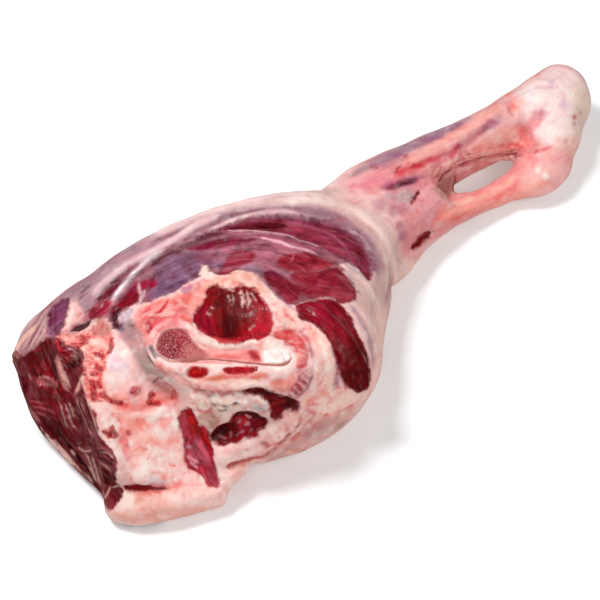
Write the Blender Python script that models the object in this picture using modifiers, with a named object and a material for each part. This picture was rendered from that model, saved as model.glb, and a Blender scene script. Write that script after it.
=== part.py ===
"""A raw leg of lamb with its shank and hock, lying on its outer side, inner side up.

Run it with blender --background --python part.py, or from Blender's text editor.
The leg's flesh, fat and tendons are one solid. The sawn hip bone that shows on
the thick end is a second solid, set in a socket in the flesh.
+X runs from the rump to the hock, +Z is up, and the origin is the middle of the
flat patch that the thigh rests on. Sizes below are in millimetres.
"""

import math

import bmesh
import bpy
import numpy as np
from mathutils import Euler, Matrix, Vector, noise
from mathutils.bvhtree import BVHTree

MM = 0.001

# The grid that fuses the muscles into one body, and how many passes then soften it.
FUSE_GRID = 2.6
SOFTEN_PASSES = 5
FLESH_TRIANGLES = 10700

# Gap left all round the hip bone, in the socket that holds it.
SOCKET_GAP = 0.3
# The hip bone: the middle of its round head and a point towards the foot of its bar, seen from
# above, then half widths at distances along that line. The sawn face is at BONE_TOP and stands
# a little proud. BONE_SPARE is trimmed off by the saw.
BONE_HEAD = (-56.0, -19.0, 0.0)
BONE_FOOT = (-8.0, -71.0, 0.0)
BONE_OUTLINE = [(-13.5, 3), (-12, 7), (-8, 11), (0, 13.5), (8, 12), (16, 9.5), (30, 9), (48, 9.5), (62, 9)]
BONE_OUTLINE += [(69, 6.5), (72, 3)]
BONE_TOP = 94.5
BONE_PROUD = 1.5
BONE_DEPTH = 30.0
BONE_SPARE = 4.0
SAW_NORMAL = (0.03, -0.03, 1.0)

STROKE_STEP = 2.0  # spacing of the points that a stroke follows
ROUGH_SIZE = 17.0  # width of the skin's dimples
ROUGH_DEPTH = 0.8

SPACING = 5.0  # distance between the rings of a lofted muscle
SIDES = 28  # corners of each ring

FLESH = (0.42, 0.05, 0.05, 1.0)
BONE = (0.72, 0.45, 0.38, 1.0)


def clear_scene():
    for obj in list(bpy.data.objects):
        bpy.data.objects.remove(obj, do_unlink=True)


def collection(name):
    made = bpy.data.collections.new(name)
    bpy.context.scene.collection.children.link(made)
    return made


def material(name, colour, roughness):
    made = bpy.data.materials.new(name)
    made.use_nodes = True
    shader = made.node_tree.nodes["Principled BSDF"]
    shader.inputs["Base Color"].default_value = colour
    shader.inputs["Roughness"].default_value = roughness
    shader.inputs["Metallic"].default_value = 0.0
    return made


def link_mesh(name, bm, home):
    """A new object in the collection home, from a bmesh in millimetres."""
    bmesh.ops.recalc_face_normals(bm, faces=bm.faces)
    bmesh.ops.scale(bm, vec=(MM, MM, MM), verts=bm.verts)
    mesh = bpy.data.meshes.new(name)
    bm.to_mesh(mesh)
    bm.free()
    made = bpy.data.objects.new(name, mesh)
    home.objects.link(made)
    return made


def smooth_route(stations, spacing=SPACING):
    """Points every few millimetres on a smooth curve through the stations, all their columns alike."""
    p = np.array(stations, float)
    length = np.concatenate([[0], np.cumsum(np.linalg.norm(np.diff(p[:, :3], axis=0), axis=1))])
    slope = np.gradient(p, length, axis=0)
    out = []
    for i in range(len(p) - 1):
        step = length[i + 1] - length[i]
        count = max(2, int(round(step / spacing)))
        for t in np.arange(count) / count:
            h00, h10 = 2 * t**3 - 3 * t**2 + 1, t**3 - 2 * t**2 + t
            h01, h11 = -2 * t**3 + 3 * t**2, t**3 - t**2
            out.append(h00 * p[i] + h10 * step * slope[i] + h01 * p[i + 1] + h11 * step * slope[i + 1])
    out.append(p[-1])
    return np.array(out)


def strand(name, stations, home, squareness=2.0, domed=True, upright=False):
    """A muscle, tendon or fold of fat: oval sections along a smooth route, with rounded ends.

    A station is (x, y, z, half width, half height, roll in degrees). The width lies level
    across the route before the roll. A squareness of 2 is an ellipse, more is boxier.
    Upright sections all face +X, whichever way the route climbs.
    """
    route = smooth_route(stations)
    points, halves, rolls = route[:, :3], route[:, 3:5], np.radians(route[:, 5])
    tangents = np.tile([1.0, 0.0, 0.0], (len(points), 1)) if upright else np.gradient(points, axis=0)
    if domed:
        ends = np.sin(np.linspace(0.25, 1.0, 5) * math.pi / 2)[:-1]
        tip = halves[0].min(), halves[-1].min()
        caps = np.cos(np.linspace(0.25, 1.0, 5) * math.pi / 2)[:-1]
        unit_first = tangents[0] / np.linalg.norm(tangents[0])
        unit_last = tangents[-1] / np.linalg.norm(tangents[-1])
        before = np.array([points[0] - unit_first * tip[0] * c for c in caps])
        after = np.array([points[-1] + unit_last * tip[1] * c for c in caps[::-1]])
        points = np.concatenate([before, points, after])
        halves = np.concatenate([np.outer(ends, halves[0]), halves, np.outer(ends[::-1], halves[-1])])
        rolls = np.concatenate([np.full(4, rolls[0]), rolls, np.full(4, rolls[-1])])
        tangents = np.concatenate([np.tile(unit_first, (4, 1)), tangents, np.tile(unit_last, (4, 1))])
    bm = bmesh.new()
    turns = np.arange(SIDES) / SIDES * 2 * math.pi
    ring_x = np.sign(np.cos(turns)) * np.abs(np.cos(turns)) ** (2 / squareness)
    ring_y = np.sign(np.sin(turns)) * np.abs(np.sin(turns)) ** (2 / squareness)
    rings = []
    for point, (wide, high), roll, tangent in zip(points, halves, rolls, tangents):
        along = Vector(tangent).normalized()
        level = Vector((0, 0, 1)).cross(along).normalized()
        upward = along.cross(level)
        across = level * math.cos(roll) + upward * math.sin(roll)
        over = upward * math.cos(roll) - level * math.sin(roll)
        ring = [Vector(point) + across * float(wide * a) + over * float(high * b) for a, b in zip(ring_x, ring_y)]
        rings.append([bm.verts.new(corner) for corner in ring])
    for low, high in zip(rings, rings[1:]):
        for i in range(SIDES):
            j = (i + 1) % SIDES
            bm.faces.new((low[i], low[j], high[j], high[i]))
    bm.faces.new(rings[0][::-1])
    bm.faces.new(rings[-1])
    return link_mesh(name, bm, home)


def lump(name, centre, radii, home, turn=(0, 0, 0)):
    """An ellipsoid, turned by angles in degrees."""
    bm = bmesh.new()
    bmesh.ops.create_uvsphere(bm, u_segments=32, v_segments=20, radius=1.0)
    angles = Euler([math.radians(a) for a in turn])
    place = Matrix.LocRotScale(Vector(centre), angles, Vector(radii))
    bmesh.ops.transform(bm, matrix=place, verts=bm.verts)
    return link_mesh(name, bm, home)


def slice_off(obj, point, normal):
    """Cuts away what lies on the normal's side of a plane, as a knife does, and closes the cut."""
    bm = bmesh.new()
    bm.from_mesh(obj.data)
    cut = bmesh.ops.bisect_plane(
        bm,
        geom=bm.verts[:] + bm.edges[:] + bm.faces[:],
        plane_co=Vector(point) * MM,
        plane_no=Vector(normal).normalized(),
        clear_outer=True,
        dist=1e-6,
    )
    rim = [e for e in cut["geom_cut"] if isinstance(e, bmesh.types.BMEdge)]
    bmesh.ops.contextual_create(bm, geom=rim)
    bmesh.ops.recalc_face_normals(bm, faces=bm.faces)
    bm.to_mesh(obj.data)
    bm.free()


def thigh(home):
    """The bulk of the leg, from the hip to the knee."""
    strand(
        "thigh",
        [
            (-58, 2, 42, 78, 44, 0),
            (-40, -2, 43, 82, 46, 0),
            (-12, -6, 43, 85, 46, 0),
            (23, -11, 42, 82, 44, 0),
            (50, -12, 39, 75, 41, 0),
            (84, -3, 35, 55, 37, 0),
            (111, 6, 32, 44, 33, 0),
            (138, 12, 29, 37, 29, 0),
            (173, 15, 26, 33, 24, 0),
            (200, 15, 24, 30, 20, 0),
        ],
        home,
        squareness=2.3,
        domed=False,
        upright=True,
    )
    strand(
        "front_muscle",
        [
            (-78, 52, 48, 29, 33, 0),
            (-20, 51, 53, 34, 37, 0),
            (40, 39, 54, 34, 36, 0),
            (85, 29, 48, 32, 31, 0),
            (125, 23, 37, 25, 24, 0),
        ],
        home,
    )
    strand(
        "lower_flank",
        [
            (-30, -62, 22, 20, 26, 0),
            (5, -73, 24, 22, 28, 0),
            (38, -70, 25, 22, 28, 0),
            (72, -49, 25, 19, 26, 0),
            (102, -28, 22, 17, 20, 0),
        ],
        home,
    )


def rump(home):
    """The leg's thick end: it sags at the loin cut, and is pared down in a slope below the hip bone."""
    body = strand(
        "rump",
        [
            (-130, 8, 17, 34, 13, 0),
            (-126, 10, 24, 48, 23, 0),
            (-118, 12, 33, 62, 33, 0),
            (-106, 11, 38, 75, 40, 0),
            (-85, 8, 41, 81, 43, 0),
            (-55, 6, 43, 84, 45, 0),
            (-20, 0, 43, 80, 42, 0),
        ],
        home,
        squareness=2.5,
        domed=False,
        upright=True,
    )
    slice_off(body, (-85, -30, 56), (-0.12, -1.0, 1.0))
    strand(
        "fat_flap",
        [
            (-130, -29, 9, 15, 9, 0),
            (-121, -36, 10, 20, 12, 0),
            (-100, -50, 12, 22, 14, 0),
            (-80, -60, 12, 21, 14, 0),
            (-65, -69, 11, 19, 13, 0),
        ],
        home,
        squareness=2.8,
        domed=False,
    )
    lump("loin_nub", (-114, 69, 45), (10, 10, 10), home)
    strand("red_strip", [(-64, -38, 62, 9, 8, 0), (-62, -56, 42, 12, 9, 0), (-60, -72, 20, 13, 9, 0)], home)


def shank(home):
    """Shin muscles over the shin bone, the heel tendon behind them, and the flesh that joins them."""
    strand(
        "shin",
        [
            (120, 24, 34, 28, 24, 0),
            (160, 30, 35, 26, 21, 0),
            (200, 28, 33, 23, 19, 0),
            (240, 24, 31, 20, 17, 0),
            (280, 19, 30, 19, 17, 0),
            (310, 15, 29, 23, 20, 0),
        ],
        home,
    )
    strand(
        "heel_tendon",
        [
            (130, -12, 22, 22, 18, 0),
            (165, -8, 20, 16, 14, 0),
            (200, -8, 17, 13, 12, 0),
            (232, -15, 13, 10, 10, 0),
            (262, -20, 14, 12, 10, 0),
            (288, -25, 16, 15, 13, 0),
        ],
        home,
    )
    strand(
        "shank_web",
        [(150, 8, 26, 24, 17, 0), (178, 6, 23, 18, 12, 0), (196, 4, 19, 12, 9, 0), (210, 3, 15, 8, 6, 0)],
        home,
    )
    strand(
        "slit_fold",
        [
            (203, 15, 25, 7, 7, 0),
            (229, 12, 21, 7, 8, 0),
            (251, 10, 21, 7, 8, 0),
            (270, 6, 21, 7, 8, 0),
            (288, 0, 21, 8, 9, 0),
        ],
        home,
    )


def hock(home):
    """The ankle joint in its covering: a broad knuckle and the heel bone's point."""
    lump("knuckle", (328, 9, 28), (34, 28, 27), home, turn=(0, 0, -10))
    lump("knuckle_end", (343, 13, 28), (22, 24, 25), home)
    lump("heel", (280, -26, 17), (29, 18, 16), home, turn=(0, 0, -8))
    lump("heel_side", (311, -12, 24), (39, 20, 22), home, turn=(0, 0, 26))


def hip_collar(home):
    """Flesh and fat that clothe the hip bone: the raised island round its sawn face."""
    lump("window_bed", (-16, -26, 83), (37, 34, 13), home)
    lump("pubis_bed", (-50, -12, 82), (28, 30, 13), home)
    strand("bar_bed", [(-60, -26, 82, 17, 12, 0), (-30, -55, 82, 17, 12, 0), (-2, -77, 77, 15, 11, 0)], home)
    strand("lower_rim", [(-67, -34, 78, 8, 8, 0), (-42, -64, 76, 9, 8, 0), (-14, -88, 71, 8, 8, 0)], home)
    strand("end_arc", [(20, -34, 84, 8, 8, 0), (24, -58, 80, 8, 8, 0), (10, -82, 72, 8, 8, 0)], home)
    strand("inner_tissue", [(-62, -48, 56, 9, 8, 0), (-42, -63, 54, 9, 8, 0), (-18, -84, 52, 9, 9, 0)], home)


def bare_muscles(home):
    """Muscles that stand out beyond the hip: a long dark one round the flank and a broad one beside it."""
    strand(
        "flank_muscle",
        [(14, -34, 84, 9, 8, 0), (27, -58, 80, 11, 9, 0), (30, -78, 68, 11, 9, 0), (24, -92, 54, 10, 8, 0)],
        home,
    )
    lump("broad_muscle", (46, -34, 74), (30, 20, 10), home, turn=(0, 14, -40))


def read_skin(leg):
    """The body's points in millimetres and its normals."""
    points = np.empty(len(leg.data.vertices) * 3)
    normals = np.empty(len(leg.data.vertices) * 3)
    leg.data.vertices.foreach_get("co", points)
    leg.data.vertices.foreach_get("normal", normals)
    return points.reshape(-1, 3) / MM, normals.reshape(-1, 3)


def write_skin(leg, points):
    leg.data.vertices.foreach_set("co", (points * MM).ravel())
    leg.data.update()


def stroke(points, normals, surface, route, radius, depth):
    """Raises the skin along a route laid on the surface, or sinks it where depth is negative."""
    laid = [surface.find_nearest(Vector(p) * MM)[0] for p in smooth_route(route, STROKE_STEP)]
    laid = np.array([tuple(p) for p in laid]) / MM
    nearest = np.full(len(points), np.inf)
    for p in laid:
        nearest = np.minimum(nearest, np.linalg.norm(points - p, axis=1))
    share = np.clip(1 - (nearest / radius) ** 2, 0, 1) ** 2
    points += normals * (depth * share)[:, None]


def carve(leg, strokes):
    """Works each (route, radius, depth) into the fused body, in order."""
    for route, radius, depth in strokes:
        points, normals = read_skin(leg)
        bm = bmesh.new()
        bm.from_mesh(leg.data)
        surface = BVHTree.FromBMesh(bm)
        bm.free()
        stroke(points, normals, surface, route, radius, depth)
        write_skin(leg, points)


def roughen(leg):
    """Shallow dimples and swellings over all the flesh, as soft meat has."""
    points, normals = read_skin(leg)
    for point, normal in zip(points, normals):
        broad = noise.noise(Vector(point) / ROUGH_SIZE)
        fine = noise.noise(Vector(point) / (ROUGH_SIZE * 0.45))
        point += normal * (broad + 0.5 * fine) * ROUGH_DEPTH
    write_skin(leg, points)


def thigh_strokes():
    """Seams between the thigh's muscles, and the edge of the fat that wraps its front and knee."""
    fat_edge = [(-102, 42, 77), (-68, 49, 84), (-21, 50, 85), (16, 43, 88), (53, 36, 86), (87, 24, 79)]
    fat_edge += [(112, 2, 65), (113, -26, 59), (106, -41, 51)]
    fat_swell = [(-104, 53, 73), (-68, 60, 80), (-21, 62, 82), (18, 54, 84), (58, 46, 82), (94, 33, 76)]
    fat_swell += [(121, 8, 62), (122, -22, 54), (114, -42, 46)]
    fascia = [(-71, 18, 86), (-37, 31, 86), (-1, 39, 86), (34, 29, 86), (55, 9, 78), (71, -22, 74)]
    flank_inner = [(22, -37, 91), (16, -56, 86), (15, -74, 83), (15, -87, 72), (16, -95, 56)]
    flank_middle = [(29, -50, 87), (26, -62, 86), (27, -76, 78), (28, -87, 63), (28, -93, 46)]
    flank_outer = [(40, -60, 80), (40, -76, 72), (42, -86, 55), (40, -91, 34)]
    broad_edge = [(33, 2, 83), (58, -7, 78), (69, -29, 74), (66, -49, 74), (58, -60, 70), (45, -64, 73)]
    return [
        (fat_swell, 13, 2.6),
        (fat_edge, 7, -2.4),
        (fascia, 6, 1.6),
        (flank_middle, 14, 3.5),
        (flank_inner, 5, -3.0),
        (flank_outer, 5, -2.6),
        (broad_edge, 5, -2.0),
    ]


def hip_strokes():
    """The sunk window of muscle in the hip bone, its rim, and the folds and clefts below it."""
    window_rim = [(-32, -13, 94), (-9, -7, 93), (6, -18, 93), (3, -38, 93), (-13, -50, 92)]
    window_rim += [(-30, -41, 94), (-37, -26, 94), window_rim[0]]
    end_groove = [(15, -45, 90), (19, -61, 86), (14, -75, 82), (7, -86, 76), (0, -90, 63)]
    end_arc = [(2, -46, 91), (8, -54, 86), (8, -66, 84), (-1, -79, 86)]
    cleft = [(-73, -28, 74), (-71, -40, 78), (-64, -50, 78), (-52, -64, 78), (-33, -80, 78)]
    cleft += [(-20, -91, 74), (-6, -93, 60)]
    pocket = [(-64, -63, 49), (-53, -74, 57), (-39, -82, 58)]
    dark_wedge = [(-26, -88, 72), (-12, -92, 60), (2, -92, 50)]
    return [
        ([(-16, -27, 96), (-15, -30, 96)], 24, -4.0),
        (window_rim, 6, 1.8),
        (end_arc, 6, 1.5),
        (end_groove, 5, -2.5),
        (cleft, 5.5, -6.5),
        (pocket, 11, -6.0),
        (dark_wedge, 7, -4.5),
    ]


def rump_strokes():
    """The cut across the rump, the slope of fat beside it, and the crease over the bottom flap."""
    cut_edge = [(-96, 65, 72), (-102, 40, 77), (-105, 13, 77), (-110, -7, 73), (-117, -25, 57), (-122, -42, 42)]
    cut_crease = [(-100, -2, 78), (-106, -18, 64), (-112, -32, 48), (-117, -44, 38)]
    flap_crease = [(-126, -46, 33), (-111, -54, 28), (-95, -64, 25), (-80, -73, 25)]
    flesh_fold = [(-96, 28, 80), (-104, 6, 76), (-114, 6, 68), (-122, 4, 58), (-128, -8, 44), (-130, -24, 30)]
    vein_hole = [(-93, 41, 80), (-86, 39, 82)]
    strip_side = [(-57, -52, 62), (-56, -66, 45), (-56, -77, 26)]
    low_fold = [(-62, -76, 30), (-45, -83, 26), (-24, -90, 28), (0, -94, 32)]
    return [
        (cut_edge, 8, 2.2),
        (cut_crease, 5, -2.6),
        (flap_crease, 4.5, -4.5),
        (flesh_fold, 7, -2.2),
        (vein_hole, 5, -5.0),
        (strip_side, 5, -3.0),
        (low_fold, 5, -2.4),
    ]


def shank_strokes():
    """The ridge of the shin bone, the furrow beside it, and the knobs of the ankle joint."""
    shin_ridge = [(169, 21, 53), (193, 18, 49), (222, 16, 47), (251, 13, 45), (274, 10, 45), (290, 8, 45)]
    furrow = [(172, 0, 48), (195, 3, 44), (216, 7, 38), (247, 7, 33), (268, 2, 30)]
    knee_hollow = [(154, -8, 50), (162, -17, 40), (150, -24, 44)]
    ankle_groove = [(313, 21, 53), (318, 10, 55), (328, 3, 54)]
    ankle_ridge = [(322, -4, 51), (319, -12, 47), (306, -14, 43)]
    heel_groove = [(289, -14, 36), (302, -20, 38), (317, -22, 40), (332, -19, 38)]
    return [
        (shin_ridge, 9, 2.4),
        (furrow, 6, -3.0),
        (knee_hollow, 10, -2.5),
        (ankle_groove, 6, -2.0),
        (ankle_ridge, 7, 2.2),
        (heel_groove, 6, -2.2),
    ]


def bone_blank(name, grown, depth, home):
    """The hip bone's outline, a round head and a long bar, as a block of a given depth below its top."""
    along = Vector(BONE_FOOT) - Vector(BONE_HEAD)
    along.normalize()
    top = BONE_TOP + BONE_PROUD
    stations = []
    for reach, half_width in BONE_OUTLINE:
        middle = Vector(BONE_HEAD) + along * reach
        wide = half_width + grown
        stations.append((middle.x, middle.y, top - depth / 2 + BONE_SPARE, wide, depth / 2 + BONE_SPARE, 0))
    return strand(name, stations, home, squareness=4.5, domed=False)


def hip_bone(home):
    """The sawn hip bone: its face is flat where the saw parted the two halves of the pelvis."""
    bone = bone_blank("hip_bone", 0.0, BONE_DEPTH, home)
    slice_off(bone, (BONE_HEAD[0], BONE_HEAD[1], BONE_TOP + BONE_PROUD), SAW_NORMAL)
    bone.data.materials.append(material("sawn_bone", BONE, 0.45))
    return bone


def cut_socket(leg, cutters):
    """Opens the flesh for the hip bone, with a small gap all round."""
    socket = bone_blank("socket", SOCKET_GAP, BONE_DEPTH + 2 * SOCKET_GAP, cutters)
    socket.hide_render = True
    socket.display_type = "WIRE"
    cut = leg.modifiers.new("socket", "BOOLEAN")
    cut.operation = "DIFFERENCE"
    cut.solver = "EXACT"
    cut.object = socket


def fused(shapes, home):
    """One skin over all the shapes, softened as flesh is, then worked and thinned."""
    bm = bmesh.new()
    for obj in list(shapes.objects):
        bm.from_mesh(obj.data)
        bpy.data.objects.remove(obj, do_unlink=True)
    mesh = bpy.data.meshes.new("leg")
    bm.to_mesh(mesh)
    bm.free()
    leg = bpy.data.objects.new("leg", mesh)
    home.objects.link(leg)
    remesh = leg.modifiers.new("fuse", "REMESH")
    remesh.mode = "VOXEL"
    remesh.voxel_size = FUSE_GRID * MM
    soften = leg.modifiers.new("soften", "SMOOTH")
    soften.factor = 0.5
    soften.iterations = SOFTEN_PASSES
    apply_modifiers(leg)
    return leg


def apply_modifiers(obj):
    graph = bpy.context.evaluated_depsgraph_get()
    made = bpy.data.meshes.new_from_object(obj.evaluated_get(graph))
    obj.modifiers.clear()
    obj.data = made


def thin_out(leg):
    """Fewer triangles, most of them left where the form bends."""
    bm = bmesh.new()
    bm.from_mesh(leg.data)
    bmesh.ops.triangulate(bm, faces=bm.faces)
    count = len(bm.faces)
    bm.to_mesh(leg.data)
    bm.free()
    thin = leg.modifiers.new("thin", "DECIMATE")
    thin.ratio = FLESH_TRIANGLES / count
    apply_modifiers(leg)


def build():
    clear_scene()
    parts = collection("leg_of_lamb")
    shapes = collection("shapes")
    cutters = collection("cutters")
    thigh(shapes)
    rump(shapes)
    shank(shapes)
    hock(shapes)
    hip_collar(shapes)
    bare_muscles(shapes)
    leg = fused(shapes, parts)
    carve(leg, thigh_strokes() + hip_strokes() + rump_strokes() + shank_strokes())
    roughen(leg)
    thin_out(leg)
    slice_off(leg, (0, 0, 0), (0, 0, -1))
    leg.data.materials.clear()
    leg.data.materials.append(material("flesh", FLESH, 0.4))
    hip_bone(parts)
    cut_socket(leg, cutters)


build()
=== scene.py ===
"""The looks of a raw leg of lamb with its shank and hock, lying on its outer side.

The frame's two solids give the form. Each section below dresses one piece, and places
that come from the photograph are given in its pixels, 600 by 600, from the top left.
"""

import math

import bmesh
import bpy
import numpy as np
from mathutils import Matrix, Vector
from mathutils.bvhtree import BVHTree


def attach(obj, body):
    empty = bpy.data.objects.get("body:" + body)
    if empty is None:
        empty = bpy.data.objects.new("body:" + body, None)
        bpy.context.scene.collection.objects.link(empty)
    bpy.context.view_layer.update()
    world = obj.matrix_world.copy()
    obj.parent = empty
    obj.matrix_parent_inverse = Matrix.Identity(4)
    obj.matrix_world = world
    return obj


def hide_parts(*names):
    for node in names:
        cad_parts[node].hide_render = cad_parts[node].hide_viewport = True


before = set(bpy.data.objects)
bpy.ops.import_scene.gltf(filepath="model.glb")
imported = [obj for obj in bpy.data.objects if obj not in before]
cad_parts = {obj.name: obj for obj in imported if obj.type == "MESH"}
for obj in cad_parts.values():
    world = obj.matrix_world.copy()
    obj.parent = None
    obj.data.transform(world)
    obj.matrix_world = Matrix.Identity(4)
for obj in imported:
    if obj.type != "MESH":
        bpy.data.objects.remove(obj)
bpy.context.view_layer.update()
MM = 0.001

# The camera looks down on the leg's inner side from beyond the hip end, through a long lens
# that keeps the far hock nearly as large as it would be close by.
VIEW_TURN = math.radians(-42.5)
VIEW_RISE = math.radians(50)
VIEW_DISTANCE = 1.13
VIEW_AIM = Vector((0.06, -0.005, 0.03))
LENS, FILM, PICTURE = 100, 36, 600

level = math.cos(VIEW_RISE)
toward_eye = Vector((math.sin(VIEW_TURN) * level, -math.cos(VIEW_TURN) * level, math.sin(VIEW_RISE)))
eye = VIEW_AIM + toward_eye * VIEW_DISTANCE
eye_right = Vector((0, 0, 1)).cross(toward_eye).normalized()
eye_up = toward_eye.cross(eye_right)
camera = bpy.data.objects.new("camera", bpy.data.cameras.new("camera"))
camera.data.lens = LENS
camera.data.sensor_width = FILM
camera.location = eye
camera.rotation_euler = toward_eye.to_track_quat("Z", "Y").to_euler()
bpy.context.scene.collection.objects.link(camera)
bpy.context.scene.camera = camera


def photo_place(points):
    """Where points in metres show in the photograph, in pixels."""
    away = points - np.array(eye)
    reach = -(away @ np.array(toward_eye)) * FILM / LENS / PICTURE
    across = PICTURE / 2 + (away @ np.array(eye_right)) / reach
    down = PICTURE / 2 - (away @ np.array(eye_up)) / reach
    return np.stack([across, down], 1)


# The flesh: muscle, fat, membrane and tendon in one piece, cut and pulled by hand from the
# carcass. Its form is the frame's solid with the bone's socket closed, and finest round the hip,
# on the rump's cut face and along the slit. Charts say what lies where on it, one thing a line.
COARSE_GRID = 4.1
SOFTENING = 6
FAR = 30.0
lines = {
    "bone_outline": (
        "152,343 160,327 174,323 190,328 200,340 216,346 250,346 284,348 292,356 284,368 240,366"
        " 188,365 164,362"
    ),
    "ridge": "92,296 104,284 120,271 134,261 148,254 162,247 175,240 187,232 196,226 208,220 222,214",
    "cord": (
        "103,313 108,306 113,299 118,292 123,286 128,280 133,274 138,269 143,264 149,259 157,254"
        " 166,249.5"
    ),
    "first_seam": "222,229.7 245,229.5 262,230.5 278,233 290,235 300,239 312,242.5 325,247",
    "second_seam": "256,236.5 270,239 282,242 292,246 303,249 312,251.5 321,257",
    "front_ridge": "84,319 94,307 103,300.5 110,293",
    "front_slot": "113,283 122,275.5 132,268.5 144,261",
    "fat_knob": "200,279 203,266 212,261 220,266 219,275 209,281",
    "ribbed_rim": "288,394 296,380 304,370 312,368 311,382 301,396 290,402",
    "under_lobe": "224,474 236,465 252,460 264,458 268,462 258,472 246,482 232,489 224,487",
    "lobe_seam": "222,470 236,463 252,459 266,455 280,447",
    "shank_crack": "419,188 418,194 414,200 410,206",
    "socket": "186,372 190,366 199,364 208,367 211,371 206,377 197,380 189,378",
    "clot_loop": "91,352 97,353.5 103,357 101,361",
    "clot_tail": "111,334 112,343 110,351 104,355",
    "clot_bow": "70,342 78,346 84,343 90,344",
    "fibre_front": "20,330 50,296 95,262 150,232 220,206 290,196 350,206 392,240 402,290 404,330 400,380",
    "fibre_back": (
        "70,345 105,330 140,310 180,292 240,272 275,282 300,300 340,302 358,306 368,324 374,350"
        " 376,390"
    ),
}


def marks(text):
    """Places on the photograph, as pixels across and down, from a line's name or its marks."""
    return np.array([pair.split(",") for pair in lines.get(text, text).split()], float)


def curve_through(text, closed=False):
    """A smooth line through marks on the photograph, with a point every 3 pixels or so."""
    spots_on = marks(text)
    if closed:
        spots_on = np.concatenate([spots_on[-1:], spots_on, spots_on[:2]])
    else:
        first, last = 2 * spots_on[0] - spots_on[1], 2 * spots_on[-1] - spots_on[-2]
        spots_on = np.concatenate([[first], spots_on, [last]])
    line = []
    for a, b, c, d in zip(spots_on, spots_on[1:], spots_on[2:], spots_on[3:]):
        steps = max(2, int(np.hypot(*(c - b)) / 3) + 1)
        for t in np.linspace(0, 1, steps)[:-1]:
            bend = (2 * a - 5 * b + 4 * c - d) * t**2 + (3 * b - a - 3 * c + d) * t**3
            line.append(0.5 * (2 * b + (c - a) * t + bend))
    line.append(line[0] if closed else spots_on[-2])
    return np.array(line)


def line_reach(line, where):
    """Each place's distance from a line, and how far along the line it lies, in pixels."""
    distance = np.full(len(where), 1e9)
    along = np.zeros(len(where))
    start = 0.0
    for a, b in zip(line, line[1:]):
        run = b - a
        length = np.hypot(*run)
        t = np.clip(((where - a) @ run) / max(length**2, 1e-9), 0, 1)
        gap = np.linalg.norm(where - a - t[:, None] * run, axis=1)
        nearer = gap < distance
        distance[nearer] = gap[nearer]
        along[nearer] = (start + t * length)[nearer]
        start += length
    return distance, along


def near(line, where):
    low, high = line.min(0) - FAR, line.max(0) + FAR
    return np.all((where > low) & (where < high), axis=1)


def area(where, *texts):
    """Pixels inside outlines on the photograph, negative outside them."""
    field = np.full(len(where), -FAR)
    for text in texts:
        line = curve_through(text, closed=True)
        close = near(line, where)
        spot = where[close]
        inside = np.zeros(len(spot), bool)
        for a, b in zip(line, line[1:]):
            if a[1] != b[1]:
                meet = a[0] + (spot[:, 1] - a[1]) * (b[0] - a[0]) / (b[1] - a[1])
                inside ^= ((a[1] > spot[:, 1]) != (b[1] > spot[:, 1])) & (spot[:, 0] < meet)
        distance = np.minimum(line_reach(line, spot)[0], FAR)
        field[close] = np.maximum(field[close], np.where(inside, distance, -distance))
    return field


def stroke(where, half_width, *texts):
    """Pixels inside strokes along marks on the photograph, which thin out toward their ends."""
    field = np.full(len(where), -FAR)
    for text in texts:
        line = curve_through(text)
        close = near(line, where)
        distance, along = line_reach(line, where[close])
        length = np.linalg.norm(np.diff(line, axis=0), axis=1).sum()
        thinning = np.clip((np.minimum(along, length - along) + 1) / min(9, length / 4), 0, 1)
        field[close] = np.maximum(field[close], (half_width + 1.5) * thinning - 1.5 - distance)
    return field


def dots(where, round_marks):
    """Pixels inside round spots, each (across, down, radius)."""
    field = np.full(len(where), -FAR)
    for across, down, radius in round_marks:
        reach = radius - np.hypot(where[:, 0] - across, where[:, 1] - down)
        field = np.maximum(field, reach)
    return field


def smooth_step(value, low, high):
    t = np.clip((value - low) / (high - low), 0, 1)
    return t * t * (3 - 2 * t)


def linear(hex_colour):
    """A colour from sRGB hex to the linear values that shaders use."""
    parts = [int(hex_colour[i : i + 2], 16) / 255 for i in (1, 3, 5)]
    return [p / 12.92 if p <= 0.04045 else ((p + 0.055) / 1.055) ** 2.4 for p in parts]


def waves(where, size, seed, stretch=(1, 1, 1)):
    """Smooth noise from about -1 to 1 at each point, with features of a size in millimetres."""
    at = where / MM / size / np.array(stretch) + seed * np.array([7.31, 3.17, 5.73])
    cell = np.floor(at)
    part = at - cell
    ease = part**3 * (part * (part * 6 - 15) + 10)
    total = np.zeros(len(where))
    scatter = np.array([[127.1, 269.5, 419.2], [311.7, 183.3, 371.9], [74.7, 246.1, 113.5]])
    for corner in np.ndindex(2, 2, 2):
        slope = np.sin((cell + corner) @ scatter) * 43758.5453
        slope = (slope - np.floor(slope)) * 2 - 1
        weight = np.prod(np.where(corner, ease, 1 - ease), axis=1)
        total += weight * (slope * (part - corner)).sum(1)
    return total * 1.6


def entries(chart):
    """A chart's entries: lines that start "# " are headings, and an indented line goes on."""
    rows = [row for row in chart.strip().split("\n") if not row.startswith("# ")]
    return "\n".join(rows).replace("\n  ", " ").split("\n")


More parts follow.
